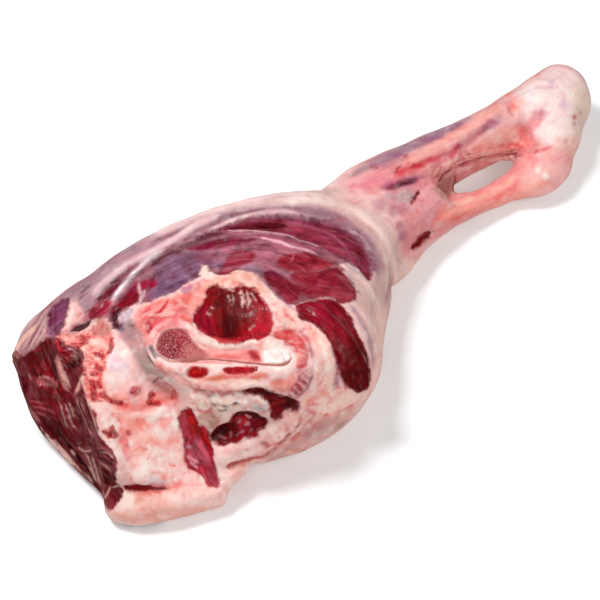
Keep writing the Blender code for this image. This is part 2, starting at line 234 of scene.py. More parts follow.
def drawn(words):
    """Pixels inside what a chart's words draw: a named zone, or an area, strokes or dots by their
    marks, with a slash between shapes. The edge wanders at "place", unless "taut" or "true"
    steadies it. "less" draws it in by pixels, and "rough" tears it with waves of a height in
    pixels, a size in millimetres and a seed."""
    words, *tears = words.split(" rough ")
    words, *insets = words.split(" less ")
    kind, _, rest = words.partition(" ")
    where = {"taut": taut, "true": true_place}.get(kind, place)
    if where is not place:
        kind, _, rest = rest.partition(" ")
    if kind == "area":
        field = area(where, *rest.split(" / "))
    elif kind == "stroke":
        half_width, _, rest = rest.partition(" ")
        field = stroke(where, float(half_width), *rest.split(" / "))
    elif kind == "dots":
        field = dots(where, marks(rest))
    else:
        field = zones[kind]
    for inset in insets:
        field = field - float(inset)
    for tear in tears:
        height, size, seed = (float(word) for word in tear.split())
        field = field + height * waves(points, size, seed)
    return field


def tint(paint, hex_colour, amount):
    """Mixes a colour into a paint at each point by an amount from 0 to 1."""
    paint += (np.array(linear(hex_colour)) - paint) * amount[:, None]


def lay_paint(paint, chart, shown):
    """Lays a chart's colours over one another: a colour, the pixels its edge fades over, where."""
    for entry in entries(chart):
        hex_colour, fade, words = entry.split(" ", 2)
        tint(paint, hex_colour, smooth_step(drawn(words), -float(fade), float(fade)) * shown)


def node_copy(*names):
    """A bmesh of the frame's solids, merged."""
    bm = bmesh.new()
    for name in names:
        bm.from_mesh(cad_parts[name].data)
    bmesh.ops.remove_doubles(bm, verts=bm.verts, dist=1e-6)
    return bm


def new_piece(name, bm):
    """An object at the origin, made from a bmesh in metres and shaded smooth."""
    mesh = bpy.data.meshes.new(name)
    bm.to_mesh(mesh)
    bm.free()
    mesh.shade_smooth()
    piece = bpy.data.objects.new(name, mesh)
    bpy.context.scene.collection.objects.link(piece)
    return piece


def refine(piece, grid, softening):
    """Remeshes a piece to an even grid in millimetres and softens its facets."""
    remesh = piece.modifiers.new("fuse", "REMESH")
    remesh.mode = "VOXEL"
    remesh.voxel_size = grid * MM
    soften = piece.modifiers.new("soften", "SMOOTH")
    soften.factor = 0.5
    soften.iterations = softening
    depsgraph = bpy.context.evaluated_depsgraph_get()
    made = bpy.data.meshes.new_from_object(piece.evaluated_get(depsgraph))
    piece.modifiers.clear()
    piece.data = made


def vectors(mesh, name):
    values = np.empty(len(mesh.vertices) * 3)
    mesh.vertices.foreach_get(name, values)
    return values.reshape(-1, 3)


def averaged(values, ends, times):
    """Values at a mesh's points, each moved to the mean of its neighbours' a number of times."""
    joined = np.bincount(ends.ravel(), minlength=len(values))
    for _ in range(times):
        total = np.zeros_like(values)
        for axis in range(values.shape[1]):
            total[:, axis] += np.bincount(ends[:, 0], values[ends[:, 1], axis], len(values))
            total[:, axis] += np.bincount(ends[:, 1], values[ends[:, 0], axis], len(values))
        values = total / joined[:, None]
    return values


def facing_eye(points, normals):
    sight = np.array(eye) - points
    return (normals * sight).sum(1) / np.linalg.norm(sight, axis=1)


flesh = new_piece("flesh", node_copy("leg", "hip_bone"))
refine(flesh, COARSE_GRID, SOFTENING)

# Faces turned to the eye are split in four, and those in the finest zones once more.
FINEST = (
    "44,340 48,304 74,284 106,262 140,244 176,230 216,216 256,208 304,208 348,220 376,244 384,274"
    " 380,320 378,392 346,400 312,428 268,448 214,494 180,480 170,420 122,404 112,446 92,404 60,376",
    "10,372 14,344 46,318 60,360 92,396 112,436 126,486 118,512 100,506 76,474 50,446 22,412",
    "380,170 440,154 500,140 545,144 540,160 500,200 440,236 412,250 402,236 384,200",
)
EDGE_ON = -0.02
bm = bmesh.new()
bm.from_mesh(flesh.data)
bm.normal_update()
shown = [f for f in bm.faces if f.normal.dot((eye - f.calc_center_median()).normalized()) > EDGE_ON]
edges = list({e for f in shown for e in f.edges})
bmesh.ops.subdivide_edges(bm, edges=edges, cuts=1, use_grid_fill=True)
bm.normal_update()
centres = np.array([f.calc_center_median() for f in bm.faces])
turned = facing_eye(centres, np.array([f.normal for f in bm.faces]))
finest = (area(photo_place(centres), *FINEST) > 0) & (turned > EDGE_ON)
edges = list({e for f, chosen in zip(bm.faces, finest) if chosen for e in f.edges})
bmesh.ops.subdivide_edges(bm, edges=edges, cuts=1, use_grid_fill=True)
for _ in range(2):
    bmesh.ops.smooth_vert(bm, verts=bm.verts, factor=0.5, use_axis_x=True, use_axis_y=True, use_axis_z=True)
bmesh.ops.triangulate(bm, faces=bm.faces)
bm.to_mesh(flesh.data)
bm.free()

# The flesh is levelled beside the bone, where the closed socket left a dent.
ends = np.empty(len(flesh.data.edges) * 2, int)
flesh.data.edges.foreach_get("vertices", ends)
ends = ends.reshape(-1, 2)
points = vectors(flesh.data, "co")
beside_bone = smooth_step(8 - np.abs(area(photo_place(points), "bone_outline")), 0, 4)[:, None]
beside_bone *= smooth_step(facing_eye(points, vectors(flesh.data, "normal")), -0.3, 0)[:, None]
points += (averaged(points, ends, 12) - points) * beside_bone
flesh.data.vertices.foreach_set("co", points.ravel())
flesh.data.update()
normals = vectors(flesh.data, "normal")
even_normals = averaged(normals, ends, 25)
facing = facing_eye(points, even_normals / np.linalg.norm(even_normals, axis=1)[:, None])
in_view = smooth_step(facing, 0.0, 0.2)

# Each point's place on the photograph: true, taut with a slight wander, or wandering by a pixel.
true_place = photo_place(points)
wander = np.stack([waves(points, 7, 1), waves(points, 7, 2)], 1) * 1.3
place = true_place + wander + np.stack([waves(points, 2.6, 3), waves(points, 2.6, 4)], 1) * 0.5
taut = true_place + wander * 0.35

# Outlines of the bared muscles and of the regions that have a grain of their own.
zones = {}
for entry in entries("""
upper_muscles taut area 84,318 92,308 99,298 106,288 114,281 124,274 134,267 146,260 156,255 170,249
  186,241 205,233 222,228 236,222 250,218 262,215.5 276,214 290,214.5 305,216 322,218.5 338,223 350,229
  360,236 368,247 373,258 375,270 372,280 366,279 358,268 350,263 342,263 340,266 345,273 351,282 357,291
  357,298 349,303 340,303 334,299 322,298 306,300 296,304 288,304 278,298 270,290 262,281 255,274 246,272
  236,270 230,275 222,277 216,276 208,270 203,266 200,274 190,281 180,288 170,294 160,297 150,300 142,303
  134,304 126,308 120,311 117,318 120,326 118,331 112,326 109,318 106,316 98,319 90,321
crescent taut area 222,229 232,224 246,219 262,216 285,214.5 305,216.5 325,220 343,226 357,235 367,247
  373,260 375,273 370,281 362,270 350,259 340,256 325,248 308,242 292,236 276,232.5 260,230 240,229.5
crimson_band taut area 188,249 198,244 210,241 226,238 244,236.5 258,238 250,242 234,246 212,249
small_red taut area 231,252 240,250 250,250 256,253 253,260 244,264 236,268 232,273 226,276 218,275
  221,268 226,259
top_lobe taut area 277,262 283,255 297,253 310,253 322,258 334,264 320,267 305,270 290,270 280,266
low_lobe taut area 290,274 314,271 338,267 344,273 350,282 356,291 357,298 348,302 340,302 334,297 322,297
  308,297 300,290
middle_lobe taut area 262,276 270,272 280,275 292,282 302,290 298,300 290,303 282,298 275,291 268,284
front_wedges taut area 96,303 103,292 112,283 121,277 118,284 113,291 106,297 / 87,317 93,309 100,304
  106,303 104,309 97,315 90,318
beside_cord taut area 114,312 118,304 124,296 130,287 137,279 140,284 139,294 137,301 130,304 122,309
front_hole taut area 111,309 117,305 115.5,313 118,320 120,328 116.5,328 112,319
flank_muscle area 296,307 304,301 329,299 339,303 349,316 358,332 366,351 370,371 369,387 361,392 351,390
  343,382 338,365 332,348 325,335 314,324 300,318
rump_cut area 51,336 60,339 70,345 80,349 84,358 83,372 82,386 88,402 94,414 98,428 103,441 112,450
  118,462 116,480 122,490 120,500 111,511 104,507 88,486 72,462 56,445 40,430 24,410 15,392 13,374 19,358
  32,350 40,342
violet_patch taut area 69,298 69,306 66,318 62,330 56,336 48,336 46,326 50,310 58,301
window_muscle area 208,287 216,284 228,288 240,286 254,288 264,298 271,310 274,322 271,334 264,341 252,343
  240,345 226,345 212,340 200,331 193,320 196,308 203,298
red_strip taut area 183,409 187,407.5 192,409 195,416 199,424 204,427 208,432 212,440 213,452 214,462
  217,472 220,480 219,487 212,488 206,484 202,476 196,471 190,469 186,462 184,452 184,442 181,432 178,422
  179,414
pocket taut area 210,437 214,430 221,425 228,424 232,416 240,412 252,413 262,417 267,421 264,428 258,431
  257,438 248,439 240,443 232,444 225,446 217,445
dark_gap taut area 241,392 252,388 262,388 272,392 282,396 294,400 300,404 298,411 285,411.5 282,418
  276,421 271,418 269,405 262,399 250,396
bone_slit taut area 222,369 228,367 236,366 244,366 252,366 258,367 257,371 250,374 240,375 230,374.5
  225,372
bone_face area bone_outline
flap_slit taut area 121,486 128,486.5 134,484.5 146,485 158,486.5 169,488.5 158,490 146,491 134,491.5
  124,490
socket_patch area 188,371 192,367 199,365.5 207,368.5 209,371.5 205,375.5 197,378.5 190,376.5
shank_hole taut area 410,248 417,239 425,231 432,232 428,240 420,247 413,251 rough 1 4 57
torn_place area 56,337 66,336 76,335 90,331 104,334 112,337 112,346 107,353 106,364 104,374 103,386
  106,397 98,404 90,403 85,390 83,372 82,356 72,352 60,350
slope area 106,408 130,410 160,408 180,408 186,440 196,474 172,486 130,482 118,456
lobes area 270,262 284,254 310,254 338,264 356,296 322,300 286,302
shank true area 340,180 600,40 620,140 560,210 440,245 400,262 396,215
hip_side true area 300,330 340,330 345,400 300,412
front true area 0,360 26,318 60,280 110,245 160,220 220,200 290,190 350,190 400,215 410,262 400,310
  370,312 352,300 300,304 270,292 240,276 200,282 160,300 130,314 110,334 84,334 56,342
"""):
    name, words = entry.split(" ", 1)
    zones[name] = drawn(words)
BARED = "upper_muscles flank_muscle rump_cut violet_patch window_muscle red_strip pocket dark_gap"
BARED += " bone_slit flap_slit socket_patch shank_hole"
bare = np.maximum.reduce([zones[name] for name in BARED.split()])

# Forms too fine for the frame's solid, each a height in millimetres, the pixels over which it
# rounds up inside its edge, and where it lies. Broad ones are blended into the surface.
BROAD = 5
relief = np.zeros(len(points))
broad = np.zeros((len(points), 1))
for entry in entries("""
# Sheets of silver skin drawn over the front of the thigh, with slots between them.
1.1 4 taut stroke 4.5 ridge
1.3 2.6 taut stroke 3.2 cord
0.6 2 taut stroke 2 front_ridge / 138,281 139.5,292 141.5,303
0.8 3 taut stroke 3 206,232 222,226 236,220.5 250,216.5 264,213.5 / 66,332 72,318 74,304
-1.3 2.4 taut stroke 2.2 front_slot
-1 2 taut stroke 1.6 150,266 156,261 164,256 174,252 186,249.5
-1.2 2.5 front_wedges
-1 3 beside_cord
-2 3 front_hole
-1.5 3.5 crescent
-0.8 2.5 crimson_band
0.6 1.4 taut stroke 1.4 first_seam / second_seam
-0.8 2.4 small_red
1 5 top_lobe
1.2 7 low_lobe
0.8 5 middle_lobe
-0.6 2 taut stroke 2 276,263 288,271 300,271.5 318,269 336,265.5 / 352,263 362,268 368,278
-0.7 2.5 stroke 2.5 264,282 276,294 290,303 304,301 324,299 340,302 352,300
1.2 8 flank_muscle
-0.8 2.5 stroke 2.5 296,309 314,323 325,334 333,349 339,366 344,382 352,391
# The cut face of the rump: folds of membrane, a loop of it round one muscle, and deep seams.
1 2.2 taut stroke 2.4 57,351 58,364 62,378 66,388 72,395 / 81,370 80,382 76,392 72,401
-1.6 5 taut area 61,352 79,352 80,368 78,384 73,391 66,380 62,366
0.8 2 taut stroke 1.8 60,400 63,410 68,424 75,441 / 76,396 82,412 90,432 97,444 / 85,396 90,412 97,432
0.6 2 taut stroke 1.4 66,404 72,416 78,430 / 40,409 50,413 60,416 / 88,452 94,466 97,480 102,494
-0.8 1.8 taut stroke 1.6 70,398 77,414 85,434 / 81,396 87,412 94,434 / 62,440 70,449 80,461 88,475 97,491
-1 3 taut stroke 3 28,372 40,380 52,386 62,398 / 36,352 46,366 54,378
0.5 2 taut stroke 2 34,380 42,378 50,381 56,386 / 36,388 46,390 54,396
1.4 7 taut area 95,448 108,447 117,457 117,470 110,480 100,474
-0.8 1.8 taut stroke 1.5 94,450 104,452 112,458 117,466 / 96,459 106,461 114,466 / 98,468 104,476 108,488
-2.6 4 taut area 70,331 76,325 84,323 90,319 91,324 85,328 78,331
# Where the rump bone came out: a torn edge with fluid in it, then the broad pale slope.
-1.2 4 area 84,350 98,345 108,352 104,372 102,390 104,400 92,402 86,384
0.8 3 stroke 3 112,334 113,345 106,354 108,366 104,378 / 84,346 96,340 106,338
1.1 6 dots 131,392,8
-1.2 2.5 dots 134,394,3 152,394,3
-0.8 3 stroke 3 104,398 114,403 130,409 150,407 164,401 176,398
0.6 3 stroke 3 106,392 118,396 140,402 / 108,410 130,416 152,414 170,408
-0.9 4 stroke 4 108,432 113,437 / 130,424 136,432
1.4 5 area 138,480 150,473 162,471 172,474 174,481 164,485 146,485
-1.6 2.4 taut stroke 3 121,488 134,488 146,488 158,488.5 170,489
# The hip: fat heaped round the bone, the muscle in the bone's window, and the torn rim below.
-3.2 4.5 bone_face less 1.5
1.1 3 stroke 3 150,350 152,337 161,326 174,321 187,324 195,331 rough 1.5 5 51
2.2 5 stroke 5 152,354 160,366 176,370 200,370 230,370 262,372 284,372 295,364 294,352 rough 1.5 5 52
1.5 7 area 139,318 150,306 165,300 180,293 196,289 206,283 204,293 196,304 190,318 176,320 162,321 152,328
  146,338
-0.9 1.6 stroke 1.6 143,322 150,320 156,315 166,310 170,304 / 150,332 152,322 / 186,300 176,306 168,314
1.4 6 area 203,286 206,276 216,270 228,272 240,270 252,272 262,280 268,290 262,293 250,287 236,285 222,285
  212,286
1.3 5 area fat_knob
0.9 5 dots 185,291,6 196,282,4
1.4 7 area 264,284 274,290 284,299 292,308 302,318 306,326 296,330 284,329 276,334 276,318 272,303
-2.6 12 area 208,287 228,286 254,288 266,300 272,316 266,330 246,336 214,333 197,324 196,308
2.6 3 area 190,329 204,335 222,337 244,336 264,336 284,342 284,346 262,345 240,346.5 214,346.5 198,341
-0.9 5 stroke 4 226,304 229,320 233,338
0.4 3 stroke 2 228,291 231,300 / 240,289 244,303 / 250,293 253,306 / 208,304 218,311
1.3 5 area 238,288 256,290 264,304 262,320 252,316 246,302
1.1 6 area 256,318 270,316 270,332 258,340 246,338
1 6 area 200,318 214,322 222,336 212,338 200,328
1.2 4 area 278,332 292,332 302,340 308,352 307,362 301,368 295,366 296,355 290,344 280,339
-0.8 1.5 stroke 1.5 296,327 306,337 311,350 312,364
1 4 area ribbed_rim
0.5 1.3 stroke 1.3 289,391 297,398 / 292,386 301,393 / 296,381 305,388 / 299,376 309,382 / 303,371 311,376
1.3 8 area 308,330 320,328 331,340 335,356 336,374 330,390 318,402 304,408 300,402 310,390 316,372 316,352
  312,340
1.3 5 area 150,352 160,360 172,370 184,378 200,384 220,386 250,384 284,380 292,372 296,384 284,392 262,390
  240,391 210,392 188,386 168,375 152,362
-0.8 3 area 186,372 190,366 199,364 208,367 212,372 206,378 197,381 189,379
-1 3 bone_slit
-2.4 5 stroke 4 147,352 155,363 167,373 182,380 194,389 206,394 222,394 240,393
# Below the hip: a gap into the dark, a cushion of grey fat, the red strip and its pocket.
-3.4 6 dark_gap
1 4 dots 193,403,7 204,405,6 214,398,6 229,400,7 243,404,6
0.9 4 area 199,414 212,413 222,419 221,427 212,433 204,428
-0.8 4 red_strip
0.9 4 stroke 4 192,440 204,452 213,472
-3 6 pocket
0.9 4 dots 242,428,7 226,437,4
2 6 area 216,452 230,446 246,443 262,440 270,444 262,452 244,458 228,464 220,466
2 6 area under_lobe
-1.6 2 stroke 2 lobe_seam
1.8 5 area 259,432 266,424 276,420 284,424 284,434 276,442 266,440
-1.4 1.5 stroke 1.5 275,428 280,438 / 260,440 270,446 284,440 / 284,420 288,432 284,442
1.6 5 area 284,414 294,410 302,414 300,426 292,436 286,430
-1.3 1.8 stroke 1.8 305,410 292,432 276,448 264,456 / 318,412 300,432 286,446
1.4 8 area 313,402 322,394 334,389 346,392 356,396 350,404 338,410 326,413 316,411
-1 2 stroke 2 302,408 314,414 330,414 346,409 360,402
1 3 stroke 3 270,457 284,453 300,450 314,446
# The flap of belly at the bottom.
1.2 5 area 124,494 150,492 180,488 210,488 228,492 228,502 200,508 160,516 130,518
-0.6 4 stroke 4 140,496 146,508 156,515 / 180,498 200,503 220,502
# The shank: sinews and muscle under a tight skin, dark holes, and the torn edge of the slit.
-1.5 4 stroke 4 408,169 425,162 452,151 470,139 496,120
1 5 stroke 5 396,167 424,152 442,143 461,132 481,120 500,106
-1.1 4 stroke 4 386,188 402,184 422,178
-0.7 1.5 stroke 1.2 395,174 397,168 402,164
-1.2 3 stroke 2.4 shank_crack
0.8 4 area 386,196 400,190 412,192 414,202 404,208 392,206
1.5 4 stroke 4 434,176 446,166 460,160 474,155 490,152 508,150 522,150 rough 2 5 53
1 3 stroke 3 442,180 452,172 466,168 480,162 / 484,160 500,158 516,157 526,154 rough 2 4 54
-1.3 2 stroke 1.6 438,180 441,174 450,169 / 458,166 470,162 482,158 / 492,155 506,153 520,153 rough 1.2 3
  55
-0.9 2 stroke 1.4 444,170 452,163 462,158 474,152 486,150 / 498,150 512,148 rough 1.5 3 56
1.2 4 stroke 4 432,230 450,216 474,208 500,202 530,192 548,184
-0.9 2 stroke 2 530,153 542,150 556,144
-0.6 3 stroke 3 414,246 421,240 428,234
# The hock: skin tight over knobs of bone.
1.2 4 stroke 3 504,112 503,102 510,97 518,98 523,105 521,112 515,118
-1 4 area 507,104 513,101 519,106 516,114 510,112
-0.8 4 area 490,122 495,116 502,115 500,122 494,127
-0.8 2.5 stroke 2.5 532,86 546,88 560,87 / 560,90 563,98 560,104
1.3 12 dots 540,104,14
1 10 dots 578,92,12 566,128,11 548,172,14
0.8 4 dots 556,128,5 545,176,6
-1 1.6 dots 574,117,2.2 574,124,2.2 566,141,3
"""):
    height, rise, words = entry.split(" ", 2)
    t = np.clip(drawn(words) / float(rise), 0, 1)
    form = float(height) * np.sqrt(1 - (1 - t) ** 2)
    if float(rise) < BROAD:
        relief += form
    else:
        broad[:, 0] += form
relief += averaged(broad, ends, 8)[:, 0]

# Crumbly fat round the hip, the step down to bared muscle, and the tissue's own unevenness.
CUT_DEPTH = 0.6
lumpy = drawn(
    "area 182,292 194,286 201,270 210,259 224,264 244,268 262,274 270,288 262,294 250,288 236,286 214,286"
    " 204,292 192,298 / 186,396 198,392 240,393 252,400 246,410 230,414 206,410 188,408 / 256,428 268,420"
    " 284,414 302,410 304,420 292,438 276,446 262,442"
)
lumpy = np.maximum(lumpy, drawn(
    "area 220,454 246,442 270,426 300,412 340,396 358,402 332,430 300,448 262,470 232,489 222,482 less 2.2"
))
lumpy = smooth_step(lumpy, -1, 3) * (1 - smooth_step(bare, -1, 1))
relief += lumpy * (1.4 * np.abs(waves(points, 5.5, 81)) + 0.5 * np.abs(waves(points, 2.8, 82)) - 0.3)
edge_step = smooth_step(bare, -1.5, 1.5)
relief -= CUT_DEPTH * edge_step
relief *= in_view
loose = np.maximum(zones["rump_cut"], drawn(
    "area 96,320 136,316 200,262 262,270 312,306 340,330 342,392 318,412 268,462 214,492 170,484 176,420"
    " 150,402 104,404 84,380 70,340 / 384,196 434,172 480,146 530,142 536,158 480,168 440,200 420,212 392,212"
))
smooth_slope = drawn(
    "area 108,346 122,330 142,346 160,370 182,388 176,398 140,390 108,392"
    " / 108,410 176,410 182,440 186,476 130,474 112,440"
)
loose = smooth_step(loose, -8, 4) * in_view * (1 - 0.75 * smooth_step(smooth_slope, -5, 4))
relief += 0.35 * waves(points, 11, 5) + 0.14 * waves(points, 4, 6)
relief += loose * (0.3 * waves(points, 3.4, 7) * (1 - 0.5 * edge_step))
relief += loose * 0.35 * (1 - edge_step) * np.abs(waves(points, 6, 8))

# Colours of the bared muscle, from the whole down to its parts.
muscle_paint = np.tile(linear("#662832"), (len(points), 1))
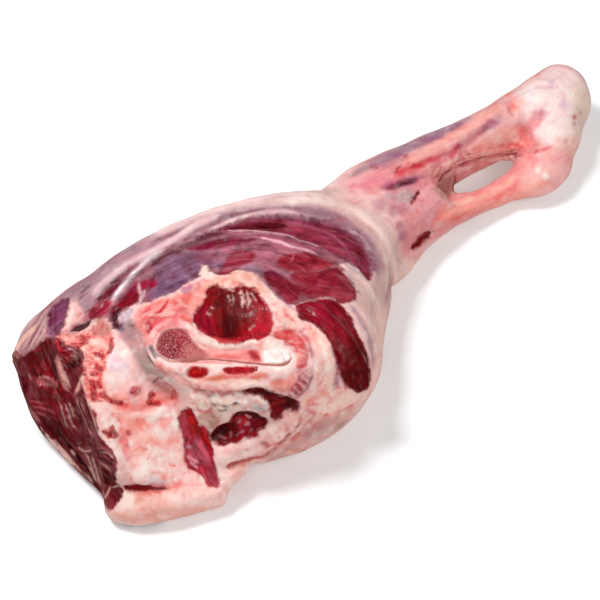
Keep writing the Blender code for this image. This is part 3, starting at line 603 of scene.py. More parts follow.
# A painted highlight along the cord's crest.
# Deep red in the gap below the hip: partly the muscle's colour, partly a painted shade in its depth.
# Near-black in the hollow inside the loop: painted shade.
# Painted highlights: glints on the wet pocket.
# Painted highlights: pale marks where the wet membrane of the cut face catches the light.
# Painted shade again in the hole in the front.
# Pale strokes in the window: partly fibres, partly painted highlights where the wet fibres catch the light.
# The hole in the front is painted near-black: painted shade.
lay_paint(muscle_paint, """
#94666f 3 upper_muscles
#86687e 4 taut area 150,300 148,290 152,278 154,270 156,262 164,257 176,253 200,250 222,252 240,254
  236,262 220,268 205,268 198,276 184,285 172,294 160,298
#705e7a 5 taut area 156,282 166,280 180,278 188,280 178,289 166,295 156,297
#94606f 4 taut area 196,252 214,251 236,253 232,260 214,262 200,262
#7c6068 2 taut stroke 3.5 150,263 158,258 168,252 180,247 192,242 204,237 216,233
#46262f 1.5 taut stroke 1.2 148,268 156,261 164,256 174,252 186,249.5
#7a1a36 2 crimson_band
#5c3444 2.5 taut stroke 2.2 190,240 204,235.5 216,233 236,233
#a46c76 3 taut area 222,230.5 245,231 262,232 278,235 292,238 306,243 322,248 336,254 345,262 334,264
  322,258 311,252 300,249 290,246 276,241 262,238 244,236 228,234
#ac6e7a 4 taut area 212,250 234,247 252,243 268,242 284,245 298,250 290,254 282,258 278,265 270,270
  258,274 246,271 252,262 256,254 246,250 230,252
#a08490 5 taut area 242,268 254,264 262,268 268,278 262,280 254,274
#883c4c 2.2 crescent
#944050 5 taut area 290,224 304,226 322,232 336,242 344,252 330,248 312,241 296,235
#540a20 2.5 taut area 226,228 240,223.5 256,220.5 272,220 288,222 284,228 270,230 250,229.5
#722c3c 4 taut stroke 4 322,224 340,231 352,240 362,252 368,264
#8a6474 3 taut stroke 1.2 262,217 280,215.5 298,217 318,219.5 336,224 350,231 360,239 368,250 373,264
  372,276
#b06078 2 taut stroke 1 286,219 306,223 326,230 342,240 352,252 / 250,233 276,237 300,244 322,251
#e6b2bc 1.2 taut stroke 1 first_seam
#ecb8c0 1.2 taut stroke 1.2 second_seam
#963e4c 1.5 small_red
#862e38 2 top_lobe
#c4707c 1 taut stroke 0.7 291,263 294,254
#862c38 1.6 low_lobe
#963c46 4 taut area 330,292 342,286 350,290 352,300 340,302
#a04448 1.5 taut stroke 1.5 291,272 302,270.5 314,268.5 325,266 336,264.5 / 296,276 310,276 322,274
#7a2a36 3 middle_lobe
#6a2440 2 taut stroke 2 262,274 272,272 280,278
#a88a98 2 taut stroke 1.8 256,273 264,282 272,291 280,299 288,306
#8c2a42 2 beside_cord
#580a1a 1.4 taut stroke 2.2 116,309 122,304 133,300.5
#92183a 1.2 taut area 141,281 146,279 147,287 143,291 141,287
#6a0a28 1.2 taut area 149,279 154,276 154,284 150,289 148,284
#985464 1.5 taut stroke 1.6 147.5,279 146.5,290 145,299
#dab0b6 1 taut stroke 1.7 138,280 139.5,292 141.5,304
#6c1c34 1.5 front_wedges
#9a7a82 1.2 taut stroke 1.6 front_ridge
#7a5660 2 taut stroke 2.2 front_slot
#bfa8ae 1.2 taut stroke 3 cord
#e2d0d2 1 taut stroke 1.2 cord
#45101e 2 front_hole
#7d1826 3 flank_muscle
#84202e 5 area 298,308 312,302 334,301 344,312 336,322 322,326 308,316
#5a0410 8 area 344,348 362,346 370,370 369,388 356,392 346,384
#90283a 3 area 86,313 100,301 113,300 106,314 96,317
#7c1228 3 area 112,309 124,298 137,290 139,298 132,305 122,311
#92203a 2 stroke 2.2 141,292 146,284 152,278 / 152,288 156,280
#d6b4bc 1.2 stroke 1.4 140,302 143,294 145,288
#3a0c18 3 stroke 2.6 119,306 116,317 112,330
#64202a 3 rump_cut
#7c4045 3 taut area 18,364 26,362 30,372 36,386 38,400 34,412 26,412 20,396
#5a1a22 2 taut area 21,378 26,376 28,384 26,396 22,390 rough 2 4 98
#a36c68 2 taut stroke 2.2 16,364 17,380 20,392 24,402 31,413 42,425
#500810 3 taut area 26,360 34,350 44,342 54,340 57,352 57,366 61,380 64,392 56,392 50,382 42,378 34,376
  27,370
#6c1620 2.5 taut area 42,362 47,356 50,366 52,376 44,378 40,372 rough 2 4 84
#3a0408 2 taut area 52,350 56,352 57,366 58,378 53,378 50,364
#7c2830 1.5 taut stroke 1.4 27,371 32,366 38,370 37,377 / 34,352 40,348 / 24,382 28,379 rough 1.5 2.6 85
#64101a 3 taut area 38,388 48,387 58,391 66,398 62,404 52,402 42,398
#a4585a 1.6 taut area 35,379 44,376.5 52,379 58,384 56,388 48,386 40,386 rough 2.4 2.4 86
#c08480 1.2 taut stroke 0.7 34,379 44,377 52,380 / 36,386 46,384 54,387 / 27,374 31,380 rough 1 2.4 87
#742028 3 taut area 28,400 42,400 56,403 58,414 44,411 32,408
#a05a5c 1 taut stroke 0.7 27,407 40,408 52,412 58,415 / 30,412 40,414 48,418 / 26,400 38,403 48,404
#480a14 3 taut area 40,418 52,420 60,424 66,436 70,446 60,440 50,432
#600810 2 taut area 60,352 70,350 78,350 80,358 74,364 66,366 61,362
#400810 2 taut area 65,364 78,356 80,362 79,370 74,372 68,371
#6c363c 2 taut area 68,372 79,366 79,382 75,389 70,386 66,378
#966460 1.2 taut stroke 2.6 56,352 58,364 61,376 65,387 71,394 / 81,372 80,384 76,392 72,398
#c49a92 0.9 taut stroke 0.8 58,356 60,366 63,376 67,386 / 62,368 66,380 70,389 / 80,376 79,386 75,394
#a82c30 1.2 taut dots 56,342,2 59,346,1.6 58,336,1.6 54,392,1.4 60,389,1.6 rough 1 2 99
#74444a 3 taut area 76,396 88,400 96,424 99,441 92,442 82,430 74,412
#a87f7a 1 taut stroke 1 74,394 80,408 87,424 93,440 / 84,394 89,406 94,420 97,436 / 79,398 84,414 90,430
#3a0a12 1 taut stroke 0.9 77,396 82,410 88,424 93,436 / 82,392 86,404 92,420 95,434 / 70,398 76,412 82,428
#b68f86 1 taut stroke 0.9 57,399 61,410 65,422 70,434 / 63,401 68,413 72,425 77,432 / 67,400 71,410 74,420
  rough 1 2.4 88
#560c1a 2.5 taut area 68,434 78,437 90,436 97,446 88,448 76,446
#2c060c 1.5 taut stroke 1.5 60,438 68,447 78,459 88,474 97,491 103,502
#b07a72 1.5 taut stroke 1.5 51,439 60,449 70,460 80,472 88,484
#d4aa9e 1 taut stroke 0.7 55,443 64,452 72,462 / 70,451 74,456 / 82,470 90,482 97,494 rough 0.6 3 101
#6e4044 2.5 taut area 78,450 91,448 96,460 101,478 104,492 98,488 90,470
#bd948c 1 taut stroke 0.9 82,450 89,462 94,476 98,488 / 90,452 94,464 98,478 101,490 / 86,466 92,472
  95,484 / 76,446 84,452 92,450
#704046 2.5 taut area 93,449 106,447 116,456 118,466 115,478 108,484 101,474
#380810 1.1 taut stroke 1 92,449 101,451 109,456 116,465 / 94,456 102,458 110,462 115,468 / 97,453 104,454
  / 99,461 106,464
#b08882 0.9 taut stroke 0.7 96,460 103,463 109,468 113,474 / 98,466 101,474 104,482 / 100,452 108,453
  115,460
#480a12 2 taut area 102,468 109,469 111,478 111,487 106,486 102,478
#5c1822 2.5 taut area 109,484 118,484 126,488 121,494 114,498 110,492
#7c3c40 2.5 taut area 100,492 106,494 113,500 112,509 106,508 101,500
#c8a096 1 taut stroke 0.8 101,488 104,497 108,491 112,484 / 100,499 106,497 / 112,488 118,486
#7c4e6a 2.5 violet_patch
#5c3048 2 taut stroke 1.2 50,306 50,320 50,334 / 56,304 55,320 54,334
#7a131d 3 window_muscle
#8e2530 4 area 198,310 208,303 216,318 220,334 208,334 196,322
#a5333a 5 area 254,298 268,304 273,320 266,338 250,342 236,342 246,328 256,314
#640a16 5 area 216,290 234,286 246,300 244,318 236,336 226,340 218,326 212,308
#4a0610 4 area 226,312 232,310 236,322 232,338 226,334
#4a0610 2.5 stroke 1.4 214,296 218,304 / 224,290 226,304 228,316 / 236,300 234,314 / 222,316 228,330 /
  240,312 236,326 rough 1.4 2.6 61
#d6b2ac 1.6 stroke 1 240,286 242,296 241,306 / 246,287 249,297 247,308 / 252,290 256,300 rough 2 2.2 62
#c9a39c 1.5 stroke 0.7 232,290 233,297 231,304 / 227,291 229,299 / 209,303 215,307 / 249,326 254,323 /
  243,290 245,302 / 207,309 211,312 rough 1.5 2.2 63
#b24a4c 2.5 stroke 2 256,290 266,299 272,311 274,322 271,333 264,340 / 195,322 202,332 213,340 226,344
  240,344
#ac3c48 2 red_strip
#b8505c 3 taut area 180,414 186,412 188,424 188,438 184,440 181,430
#ac1a26 2 taut area 184,410 192,411 196,420 199,430 196,436 189,434 186,422
#a01622 2 taut area 198,428 204,429 211,440 212,452 206,446 200,438
#b8606c 3 taut area 188,440 198,440 206,450 210,464 204,466 194,458 188,452
#a22c3a 2 taut stroke 1.6 206,446 211,456 214,468 / 192,438 190,446
#d69aa2 1.4 taut stroke 1.4 186,455 193,460 200,464 / 190,461 198,468 / 187,447 190,448
#601018 1.4 taut stroke 1 192,466 196,470 / 183,437 187,443
#b85660 3 taut area 206,474 214,470 220,480 219,488 210,488
#8a1024 2 pocket
#48040f 3 taut area 231,417 240,412 254,413 264,418 258,422 244,420 234,424
#5a0814 3 taut area 210,436 216,429 224,425 227,430 222,436 214,442
#a01a30 2 taut area 236,422 256,422 262,426 254,434 240,440 230,440 rough 2 4 122
#e0a2a8 1 taut stroke 0.9 237,426 241,424 / 233,437 237,435 / 250,433 254,430 / 240,434 243,432 / 247,419
  251,421 / 244,428 249,425 251,428 / 221,436 224,438 / 228,433 229,437 / 216,440 219,444 rough 0.8 2 92
#66091a 2 dark_gap
#8c1620 3 taut area 270,408 282,408 282,416 276,421 271,417
#9a1a26 2 taut stroke 1.4 262,398 276,402 290,408
#7c1218 1.6 flap_slit
#a02422 2 area socket
#9c222c 2 bone_slit
#76101a 3 stroke 6 412,248 421,241 430,233
#b8403c 2 stroke 1 226,373 238,374 250,373 259,371
""", in_view)

# Sides that the photograph doesn't show: the leg's fell over creamy fat, with muscle dark
# beneath it in long patches, and the rump's cut face carried round to the front edge.
pale_paint = np.tile(linear("#e6bcb4"), (len(points), 1))
long_patches = waves(points, 34, 11, (2.2, 1, 1))
patches = waves(points, 15, 12, (1.8, 1, 1))
unseen = 1 - 0.8 * smooth_step(facing, -0.35, 0.05)
tint(pale_paint, "#b07c84", smooth_step(long_patches, 0.05, 0.5) * 0.75 * unseen)
tint(pale_paint, "#f0d3c4", smooth_step(-patches, 0.1, 0.7) * 0.7 * unseen)
tint(pale_paint, "#c98a8a", smooth_step(patches, 0.3, 0.9) * 0.5 * unseen)
# Along the thigh's long edges, the sides turned from the eye are painted paler: partly the fat's own colour,
# partly a painted highlight for the lit top edge.
rim = smooth_step(place[:, 0], 60, 140) * smooth_step(400 - place[:, 0], 0, 60)
tint(pale_paint, "#eccccb", rim * smooth_step(facing, -0.3, 0.1) * 0.7)
cut_end = 30 * (smooth_step(-points[:, 0] / MM, 96, 112) - 0.5) + 6 * patches
cut_end -= 12 * smooth_step(normals[:, 2], 0.2, 0.7)
cut_end -= 14 * smooth_step(22 - points[:, 2] / MM, 0, 16)
bare = bare * in_view + np.clip(cut_end, -FAR, FAR) * (1 - in_view)

# Colours of everything that covers muscle: fat, loose tissue, membrane, sinew and skin.
zones["red_threads"] = np.minimum(
    drawn("taut area 138,314 152,302 172,296 196,290 200,300 190,320 160,318 146,336"),
    9 * (0.05 - np.abs(waves(points, 6, 120) + 0.3 * waves(points, 2.5, 121))),
)
# A painted highlight along the cord's crest.
# A painted highlight along the tendon.
# A painted highlight at the foot of the red strip.
# A painted shadow line along the crease under the bone's end.
# A painted shadow line along the crease under the bone.
# A pale stroke along the top edge of the thigh: partly the fat's own colour, partly a painted highlight.
# Darker lines in the flap's folds and along its lower edge: partly painted shade.
# Painted highlights on the heel.
# Painted highlights on the knobs of the hock.
# Painted shade: partly the duller pink of the under side, and the mauve patch in it.
# The pale slope below the hip, blue-grey beside the bone and warm toward the flap.
lay_paint(pale_paint, """
# Silver skin and fat along the front of the thigh.
#9a7883 6 area 6,356 26,324 52,298 80,272 110,248 150,227 200,212 250,203 300,203 345,213 375,235 392,262
  392,290 376,304 370,290 372,274 356,254 336,240 300,226 260,226 225,236 190,248 163,265 140,277 118,294
  100,310 84,326 72,336 54,344 24,358
#b6989f 5 taut area 92,290 104,278 120,265 136,256 150,250 140,262 124,272 108,284 98,296
#866872 3 taut stroke 2.6 84,278 100,265 118,254 136,246 156,240 / 60,292 74,280
#a87c88 4 taut stroke 3.5 140,247 156,240 172,233 186,226 204,218 220,212
#624048 2.5 taut stroke 2.2 79,303 81,296 85,289 92,282
#9c8088 2 taut stroke 1.2 92,284 108,270 126,260 / 160,240 178,232 192,224
#c9a8ae 2.5 taut stroke 3.2 ridge
#e2c2c6 2 taut stroke 1.8 134,260 148,253 162,246 175,239 187,231 196,225
#7c5c66 2 taut stroke 2 206,227 220,220 236,214 252,210 268,208 / 150,243 166,236 184,228
#bfa8ae 1.2 taut stroke 3 cord
#e2d0d2 1 taut stroke 1.2 cord
#d8aaa6 3 taut area 69,303 76,301 80,308 84,316 79,322 71,329 63,334 65,322 68,312
#f2d6d6 6 taut stroke 6 150,232 175,220 200,210 230,200 262,194 300,190 345,180
#d6b4b8 2 taut stroke 1.8 208,230 222,225 236,219.5 250,215.5 264,212.5 280,211 300,212
#c8a8ac 2 taut stroke 1.4 232,212 250,208 272,205 300,205 / 260,200 290,196 320,197
#f0dcd6 3 stroke 3 282,203 300,200 320,201 345,205
#d3b4ae 6 area 318,196 350,188 385,198 402,225 404,262 398,300 388,330 372,324 360,306 356,292 349,268
  354,262 364,268 371,279 384,268 376,244 356,222 335,208
#b48e8c 3 stroke 2 350,214 372,232 386,254 390,280 386,306 / 366,222 386,246 396,272
#ecd0ca 3 stroke 2 340,204 364,216 384,238 394,262 394,290 / 352,270 366,284 378,306 382,330
#c6acae 2 taut area 336,255 344,262 356,264 366,274 372,284 376,300 366,298 352,282 344,269 372,284
  376,300 366,298 356,284 350,270
#7a4a54 1.5 taut stroke 1.4 352,264 361,268 367,277
#a78a94 3 stroke 2 349,304 360,320 370,342 374,366 373,384
#f2cdc4 4 stroke 5 380,302 382,336 380,362 372,392 362,404
#e9ccc6 2.5 stroke 2 372,310 376,336 376,362
# The creamy strip and the brown nub at the loin end.
#a3777c 4 taut area 16,364 20,346 30,328 40,314 52,300 60,294 54,306 50,320 49,336 38,346 28,358 22,368
#7c4a50 1.2 taut stroke 1 24,352 33,337 42,320 48,308 / 30,350 38,337 46,322 49,312 / 36,346 43,334 48,324
  / 36,322 46,308 56,298
#c9a09e 1.2 taut stroke 0.9 21,352 30,337 40,320 50,305 / 27,352 36,337 44,322 / 34,348 41,336 47,325 /
  33,344 40,332
#e0b4a8 1.4 taut stroke 2.2 13,368 13,357 17,347 24,338 32,330 38,322
#a4574a 2 area 8,352 14,346 16,352 13,362 11,368 8,362
#e3b8b4 2.5 taut area 66,310 72,303 78,306 82,311 80,318 74,323 68,330 62,335 63,324
#f2d0c8 1.5 taut stroke 1.6 73,308 71,316 67,325
#c07c78 1.5 taut stroke 1.2 54,337 62,333 70,328 / 80,322 86,318 92,317 / 78,318 82,312
# Under the thigh: a bulge of firm fat and the thin fat on the outer side.
#d4a9a0 5 area 262,462 280,440 300,420 330,412 352,406 372,396 384,376 378,404 360,424 330,440 300,452
#c08c8a 5 area 304,430 320,424 338,424 330,434 314,440 300,442
#fbd2c6 4 area 312,403 322,394 334,388 347,391 357,396 350,405 338,411 326,414 315,412
#cf6657 2 stroke 2.4 276,456 290,452 302,450 314,446
#e8cfc9 2 stroke 1.6 330,436 348,424 362,412
#b08a88 3 stroke 2 304,437 330,430 356,420 / 312,427 330,421 348,414 rough 1.5 6 64
#a8645c 2 stroke 1.4 254,463 274,456 291,449 310,450 324,447 rough 1 5 65
#b5848a 3 stroke 1.6 268,444 284,440 300,430 / 276,452 296,444 316,440 rough 1.5 5 66
#e5b6b0 4 area 220,464 224,452 238,446 254,444 262,432 268,422 282,416 296,410 304,418 298,432 284,446
  262,456 244,464 228,470
#f1cec8 2.5 area 222,456 236,450 252,447 262,448 252,456 236,460 226,464
#b07a72 2 stroke 1.8 lobe_seam / 275,428 280,438 / 305,411 292,432 276,448 / 260,441 270,446
#f0bcb4 3 area under_lobe
#f5ccc4 2 area 268,430 272,422 282,424 283,432 276,440
#634640 1.4 taut stroke 1.5 181,375 188,382 194,389 199,392 208,391.5 220,389.5 232,391 244,391.5 252,390
# The grey cushion and tan membrane over the pocket.
#dac5bb 3 taut area 208,394 240,392 252,397 262,400 269,406 271,415 262,416 248,411 236,411 230,414
  230,424 224,423 214,415 208,410
#efe2dc 2 taut area 210,394 216,392 223,395 222,401 214,402
#e6d8d4 2 taut dots 232,398,4 240,399,3 247,402,3 226,408,2 rough 2 4 93
#7c6460 1.3 taut stroke 1 219,404 226,406 232,404 238,403 244,407 / 216,408 222,411 228,409 / 212,403
  216,406 rough 1 3 94
#f6d6ca 2 taut area 187,397 196,393 206,395 210,404 207,410 198,409 188,408 184,402
#d39c8e 1.3 taut stroke 1 195,396 197,404 197,411 / 187,399 186,408 / 204,398 208,408
#b48e82 2 taut area 197,418 202,412 212,413 221,419 218,425 212,431 206,430 200,424
#9a7468 1.4 taut stroke 1.2 209,413 216,417 221,420
#b7a3a6 3 taut area 248,400 258,402 267,408 268,414 258,412 250,407
#b83436 1.6 taut dots 256,402,2.2 261,405,1.2 264,412,1.2
#c67a82 2 taut area 175,447 184,442 190,452 198,464 207,474 203,479 192,472 182,462
#efc4c0 1 taut stroke 0.8 177,450 188,462 200,473 / 181,446 191,460 / 180,458 190,468
#f6e2dc 1.6 taut area 199,474 205,473 209,480 206,486 201,482
# The pale slope below the hip, blue over bone and warm toward the flap.
#f0cbc6 7 area 110,330 124,318 140,330 150,350 166,372 184,386 196,398 186,412 180,430 186,450 196,474
  186,486 150,486 124,480 120,456 110,436 104,410 104,372
#9c8084 4 taut area 118,322 130,318 140,326 145,340 150,356 142,360 132,352 124,342 118,334
#b8a0ac 2 taut area 118,313 124,309 133,308 132,316 126,322 119,322
#d4c2cc 1.4 taut stroke 0.8 121,312 126,316 124,322 / 127,310 131,315
#6e5654 2.5 taut dots 131,325,3.4 rough 2 3 116
#54405c 2 taut area 118,323 123,322 125,328 121,332 118,329
#a8908c 5 taut area 134,348 148,356 156,364 170,376 182,382 172,384 152,378 140,368 134,358
#dfcdd4 5 dots 114,364,7 122,368,7 110,354,4
#f2dcda 5 dots 124,376,6 142,380,6 112,380,4
#e6d0cc 2 taut area 150,374 160,377 174,384 186,390 176,392 160,386 150,380
#836c6a 1.6 taut stroke 1.2 152,384 158,378 166,378 / 194,384 197,388 200,392 rough 1 3 117
#ef9d96 5 stroke 7 108,396 130,403 154,402 170,396 180,402
#f0aaa0 8 area 112,418 130,412 150,420 176,408 178,420 150,436 138,446 124,440
#fccac4 12 area 122,444 150,424 180,430 186,452 160,474 130,470
#f2ddd8 2.5 stroke 1.6 100,412 106,426 112,440 117,458
#d08474 3 taut area 158,472 166,471 173,475 172,483 165,485 160,478
#d3c2c8 2.5 taut area 139,482 148,476 160,477 166,483 156,484 146,483
#b86e60 1.4 taut stroke 1 146,474 158,472 166,471 / 166,472 168,478 166,484
#cf7a70 1.5 taut dots 128,433,2 136,434,1.4 128,446,1.6 140,424,3 129,459,1.2
#deb8b4 4 area 112,462 122,458 132,468 136,482 122,484 114,478
#df7468 1.4 stroke 1.2 129,470 130,478 134,484 / 168,464 176,466 / 146,470 152,466
# The flap.
#dc9e92 5 area 112,512 122,494 160,488 210,486 230,492 230,504 200,512 160,524 130,524
#f6c5be 4 area 164,490 200,484 226,492 222,502 190,506 168,502
#d88e7e 3 stroke 2 136,496 142,508 152,518 / 116,514 130,520 148,522 / 150,520 180,514 210,508
#f3d6cc 3 area 112,500 122,492 134,494 132,506 118,512
#e9dcd8 2 dots 226,497,4
#c8858a 2.5 dots 219,496,2.5 183,496,2.5
#e29c94 3 area 56,337 76,335 90,331 104,334 112,338 107,353 106,364 104,386 106,400 92,403 85,390 83,372
  82,356 60,350
#c8645e 3 area 86,374 98,368 104,384 102,398 92,402 86,390 rough 3 4 69
#f5bcb0 2 dots 92,354,6 86,346,5 98,345,4 98,362,4 90,368,4 94,377,4 99,391,3 rough 2 4 70
#f3bcb2 3 taut area 90,347 104,343 109,348 104,353 94,351
#b87c74 2 taut area 96,318 104,315 108,322 112,332 104,336 92,334 96,326
#8a4a44 1.2 taut stroke 0.8 102,318 103,325 100,331 / 94,325 93,333 / 107,325 108,333 rough 1 2.4 102
#86101a 1.3 taut stroke 1.7 clot_loop / 95,361 97,367 104,370 / 84,364 84.5,377 / 89,373 98,374
#b02a32 1.5 taut stroke 1.4 clot_tail / 80,335 86,338 92,336 / clot_bow
#6e0810 1.5 taut stroke 2.6 89,381 93,383 97,387 / 91,384 93,391 92,399 / 97,381 100,388 rough 1.5 3 95
#c4403c 2 taut stroke 2.2 102,389 106,398 114,402 130,405 / 145,402 156,403 163,405
#7a0e16 1.5 taut stroke 1.8 92,396 95,402 / 93,410 95,417 / 131,393 136,389 / 149,397 153,395
#7a0c14 1.5 taut stroke 3 112,425 111,433 107,438 / 103,431 108,433 / 113,430 116,438 rough 1.5 3 96
#a84850 3 taut area 127,394 132,387 140,387 140,393 133,399
#f6e0da 6 taut area 150,410 176,408 181,426 172,438 152,434
#f5ded8 6 taut area 124,452 148,444 172,458 156,470 130,468
#efb2aa 6 taut area 130,440 150,436 166,446 150,456 134,452
#e8958c 3 taut area 134,422 144,418 150,426 142,432 rough 2 4 97
# Loose pink tissue and fat round the hip bone.
#cc7c78 3 area 138,318 150,306 165,300 180,293 196,289 206,283 204,293 196,304 192,318 178,321 164,322
  152,328 146,338 140,330
#f5c8bc 2 stroke 1.6 137,318 147,307 160,301 176,296 190,289 / 164,314 176,308 190,304 / 156,320 166,316
  178,314
#e8928f 3 taut area 136,312 150,304 166,299 184,296 186,304 176,312 160,316 150,312 142,316 136,326
#cc5456 1.5 taut area 142,313 148,310 152,313 150,319 145,321 141,318 rough 1.4 3 111
#a22c36 1.5 taut area 146,324 150,321 153,326 155,332 150,336 147,331 rough 1.4 2.6 112
#c25a58 1.6 taut area 153,322 162,318 172,319 166,322 158,326 154,329 rough 1 3 113
#c65a5c 1.2 red_threads
#b02e38 1 taut stroke 1.2 154,316 161,312.5 166,306 169.5,297 / 150,318 155,320 160,318
#cf6e68 2 taut area 174,302 186,299 196,298 194,305 184,309 174,307 rough 1.6 4 114
#d8746c 1.6 taut area 178,318 186,316 193,322 192,328 186,324 rough 1.4 3 115
#eda09a 3 area 190,303 200,291 208,284 214,282 209,291 202,301 196,312 190,316
#b98096 2 dots 185,291,4 190,288,3 150,300,3 154,297,3
#e2b0a2 2.5 area 203,287 206,276 216,270 228,272 240,270 252,272 262,280 268,291 261,294 250,288 236,286
  222,287 212,288
#efc8c0 2 dots 224,277,4 240,276,4 210,268,3 254,281,3
#f5d3ca 2.5 area fat_knob
#f4cdc4 3 area 262,286 272,291 282,299 290,307 299,318 306,326 296,331 284,330 276,335 276,318 271,304
#bd93a8 2.5 stroke 2.2 255,274 264,278 274,290 284,302 296,311 / 244,268 256,272
#d77b7a 2 stroke 1.2 280,308 288,318 296,324 / 274,312 280,324
#e79a94 2 stroke 2.2 184,325 196,339 212,346 234,346 252,344 268,344 280,345
#fbe0d8 1.2 stroke 1.2 184,324 196,338 211,345 234,346.5 252,344 264,344
#dc7c80 3 stroke 3.4 152,350 152,338 160,326 174,321 188,324
#54403e 1.4 taut stroke 1.5 145,350 150,359 158,366 168,371.5 183,376
#470c34 1.4 taut stroke 2.6 150.5,344 153,350 156,356 158,359
#f0dcd4 1.4 stroke 1.4 147,349 153,359 163,368 176,375 / 189,364 196,365 210,364 228,365
#dd9890 2.5 area 158,360 172,369 184,379 199,384 218,386 240,385 262,385 284,381 292,373 296,385 286,393
  268,391 246,390 220,393 200,391 184,384 168,375 154,363
#eebab2 2 stroke 2 170,372 184,382 200,388 / 214,388 236,388 262,388 282,388
#94201c 1.6 area socket
#f3bdb4 1.4 stroke 1.3 184,370 187,379 197,382 207,379 213,371
#d07c68 2 area 204,380 214,376 224,373 240,375 260,372 267,376 252,381 230,382
#d8706a 2 area 220,372 240,375 260,372 263,376 244,379 226,379
#efcabf 2 area 216,381 236,379 258,380 257,387 236,387 220,386
#cf8878 2 area 268,383 276,379 284,380 283,386 274,389
#c0484a 2 area 272,335 277,331 292,331 302,339 308,351 307,362 301,369 295,367 296,355 290,345 280,340
#dc7470 2.5 stroke 1.6 276,340 284,336 294,342 300,354 300,364
#b8909c 1.8 stroke 1.5 296,326 306,336 312,350 313,363
#8a3240 2 area ribbed_rim
#cf9296 1 stroke 0.6 289,391 297,398 / 292,386 301,393 / 296,381 305,388 / 299,376 309,382 / 303,371
  311,376
#edc2b8 3 area 308,330 320,327 331,339 335,356 336,374 330,390 318,402 304,408 300,402 311,390 316,372
  316,352 311,340
#f6dcd2 2 stroke 2 318,336 325,352 326,372 320,390
#af9ca6 2.5 stroke 2.2 331,342 337,360 337,380 331,392
#e9a39a 3 dots 309,400,4 322,392,4
#f4e4de 2 area 262,346 274,342 286,350 290,362 284,370 270,368 262,360
# The shank: dusky muscle under the fell, coral sinew, a grey web, and the orange tendon.
#d89292 7 area 340,180 400,140 470,108 520,78 560,60 600,80 600,130 580,175 555,205 500,210 440,240
  415,262 402,250 396,215 370,198
#ecc6c2 6 area 330,196 352,186 372,186 396,196 404,222 396,236 376,214 350,206
#8e6078 4 area 347,177 371,160 395,149 422,135 442,126 463,118 472,118 462,127 442,140 420,149 396,161
  372,169
#7e566c 3 stroke 2.4 372,161 398,150 424,137 448,126 / 352,176 368,167
#c07f88 3 stroke 2.4 378,170 400,160 424,150 448,138
#c44e54 4 stroke 5 386,177 400,172 425,162 452,151 480,134
#ea948c 4 stroke 3.8 404,163 424,152 442,143 461,132 481,120 502,105
#c4646e 3 stroke 3.6 422,166 442,157 456,149 470,139 484,129 500,117
#9c3448 3 stroke 3.4 454,151 462,145 472,137 484,129 500,117
#7a2c4a 3 stroke 2.8 480,132 490,125 500,118
#8a2434 1 stroke 0.9 395,175 397,168 402,164 / 404,158 409,152 / 366,170 372,166 380,168 / 386,172 392,178
#d98a92 5 area 352,180 380,172 396,176 390,188 372,190 352,190
#8a4066 5 stroke 4 380,189 400,184 424,177
#4a1030 2.5 stroke 2.6 392,187 404,183 419,179
#bc9a9e 5 area 384,198 396,190 410,190 416,196 408,204 396,206
#c48890 3 area 388,204 404,204 412,210 404,216 392,212
#d99ba0 5 area 417,188 436,184 446,200 438,218 424,222 416,208
#a87084 4 dots 403,237,5
#b87c82 4 dots 400,226,5
#c4949a 5 dots 380,205,7 392,212,5
#cf8c8c 4 area 410,226 426,222 432,232 424,246 412,252 404,246
#e4857f 6 stroke 8 436,222 456,208 484,199 510,190 530,182
#dc6a5e 4 stroke 3.4 450,222 448,219 470,210 498,203 524,194 540,186
#f8aa9e 3 stroke 3.2 438,216 460,206 482,198 500,188 518,176
#f3bfb4 3 stroke 2.2 446,206 462,202 478,196
#a8786f 3 area 434,190 440,180 452,174 457,178 455,190 449,198 440,196
#8c1f2c 1.2 stroke 1.1 454,174 456,182 453,190
#c88482 3 stroke 4 438,172 456,162 478,156 502,152 522,152
#742c34 1.5 stroke 1 440,176 450,169 / 458,165 466,162 / 477,159 486,157 / 504,154 520,153 / 438,183
  443,174 / 464,157 472,153 / 512,158 524,155
#eab4ae 1.6 stroke 1.3 436,172 446,164 460,159 476,154 / 484,162 500,159 516,159
#ee9c94 5 area 470,150 490,138 508,128 524,132 530,146 516,150 494,152
#f0bcb4 4 dots 500,140,6 514,136,6 488,148,4
#a8667a 4 area 488,124 493,117 501,115 502,120 494,127
#e67a6e 3 stroke 3 500,98 508,94 516,95 522,101 524,108
#f2aca6 3 area 508,104 513,100 520,104 519,112 514,118 510,112
#a0384a 1.2 stroke 1 510,104 509,111 515,118
# The hock.
#f8dedb 6 area 514,92 545,76 572,74 592,100 590,130 574,148 556,146 536,138 524,122 524,104
#f9e8e6 8 dots 534,98,9 530,108,5 552,130,5 540,120,7
#eed2d4 5 area 540,72 560,66 578,74 586,92 570,88 552,80
#d9b6c4 4 dots 551,81,4 540,114,5 564,106,5
#cfa8b2 2.4 stroke 1.2 532,85 545,87 560,87 / 561,90 565,97 562,104
#e0cabe 5 area 576,82 590,96 592,124 582,142 572,132 574,108
#e7b7ac 4 area 556,138 574,136 582,142 576,160 562,152
#f0a8a4 5 area 524,158 550,148 566,152 568,172 556,190 530,194 520,178
#f4897c 4 stroke 4 520,186 536,186 550,182
#d77a80 2.5 stroke 1.2 528,154 542,150 556,144
#fbe4e0 2 dots 545,176,3 538,170,3
#d98c92 5 dots 556,186,4 534,160,3
#c08088 1.5 dots 574,117,1.6 574,124,2 566,141,2.4 543,110,1.6
""", in_view)

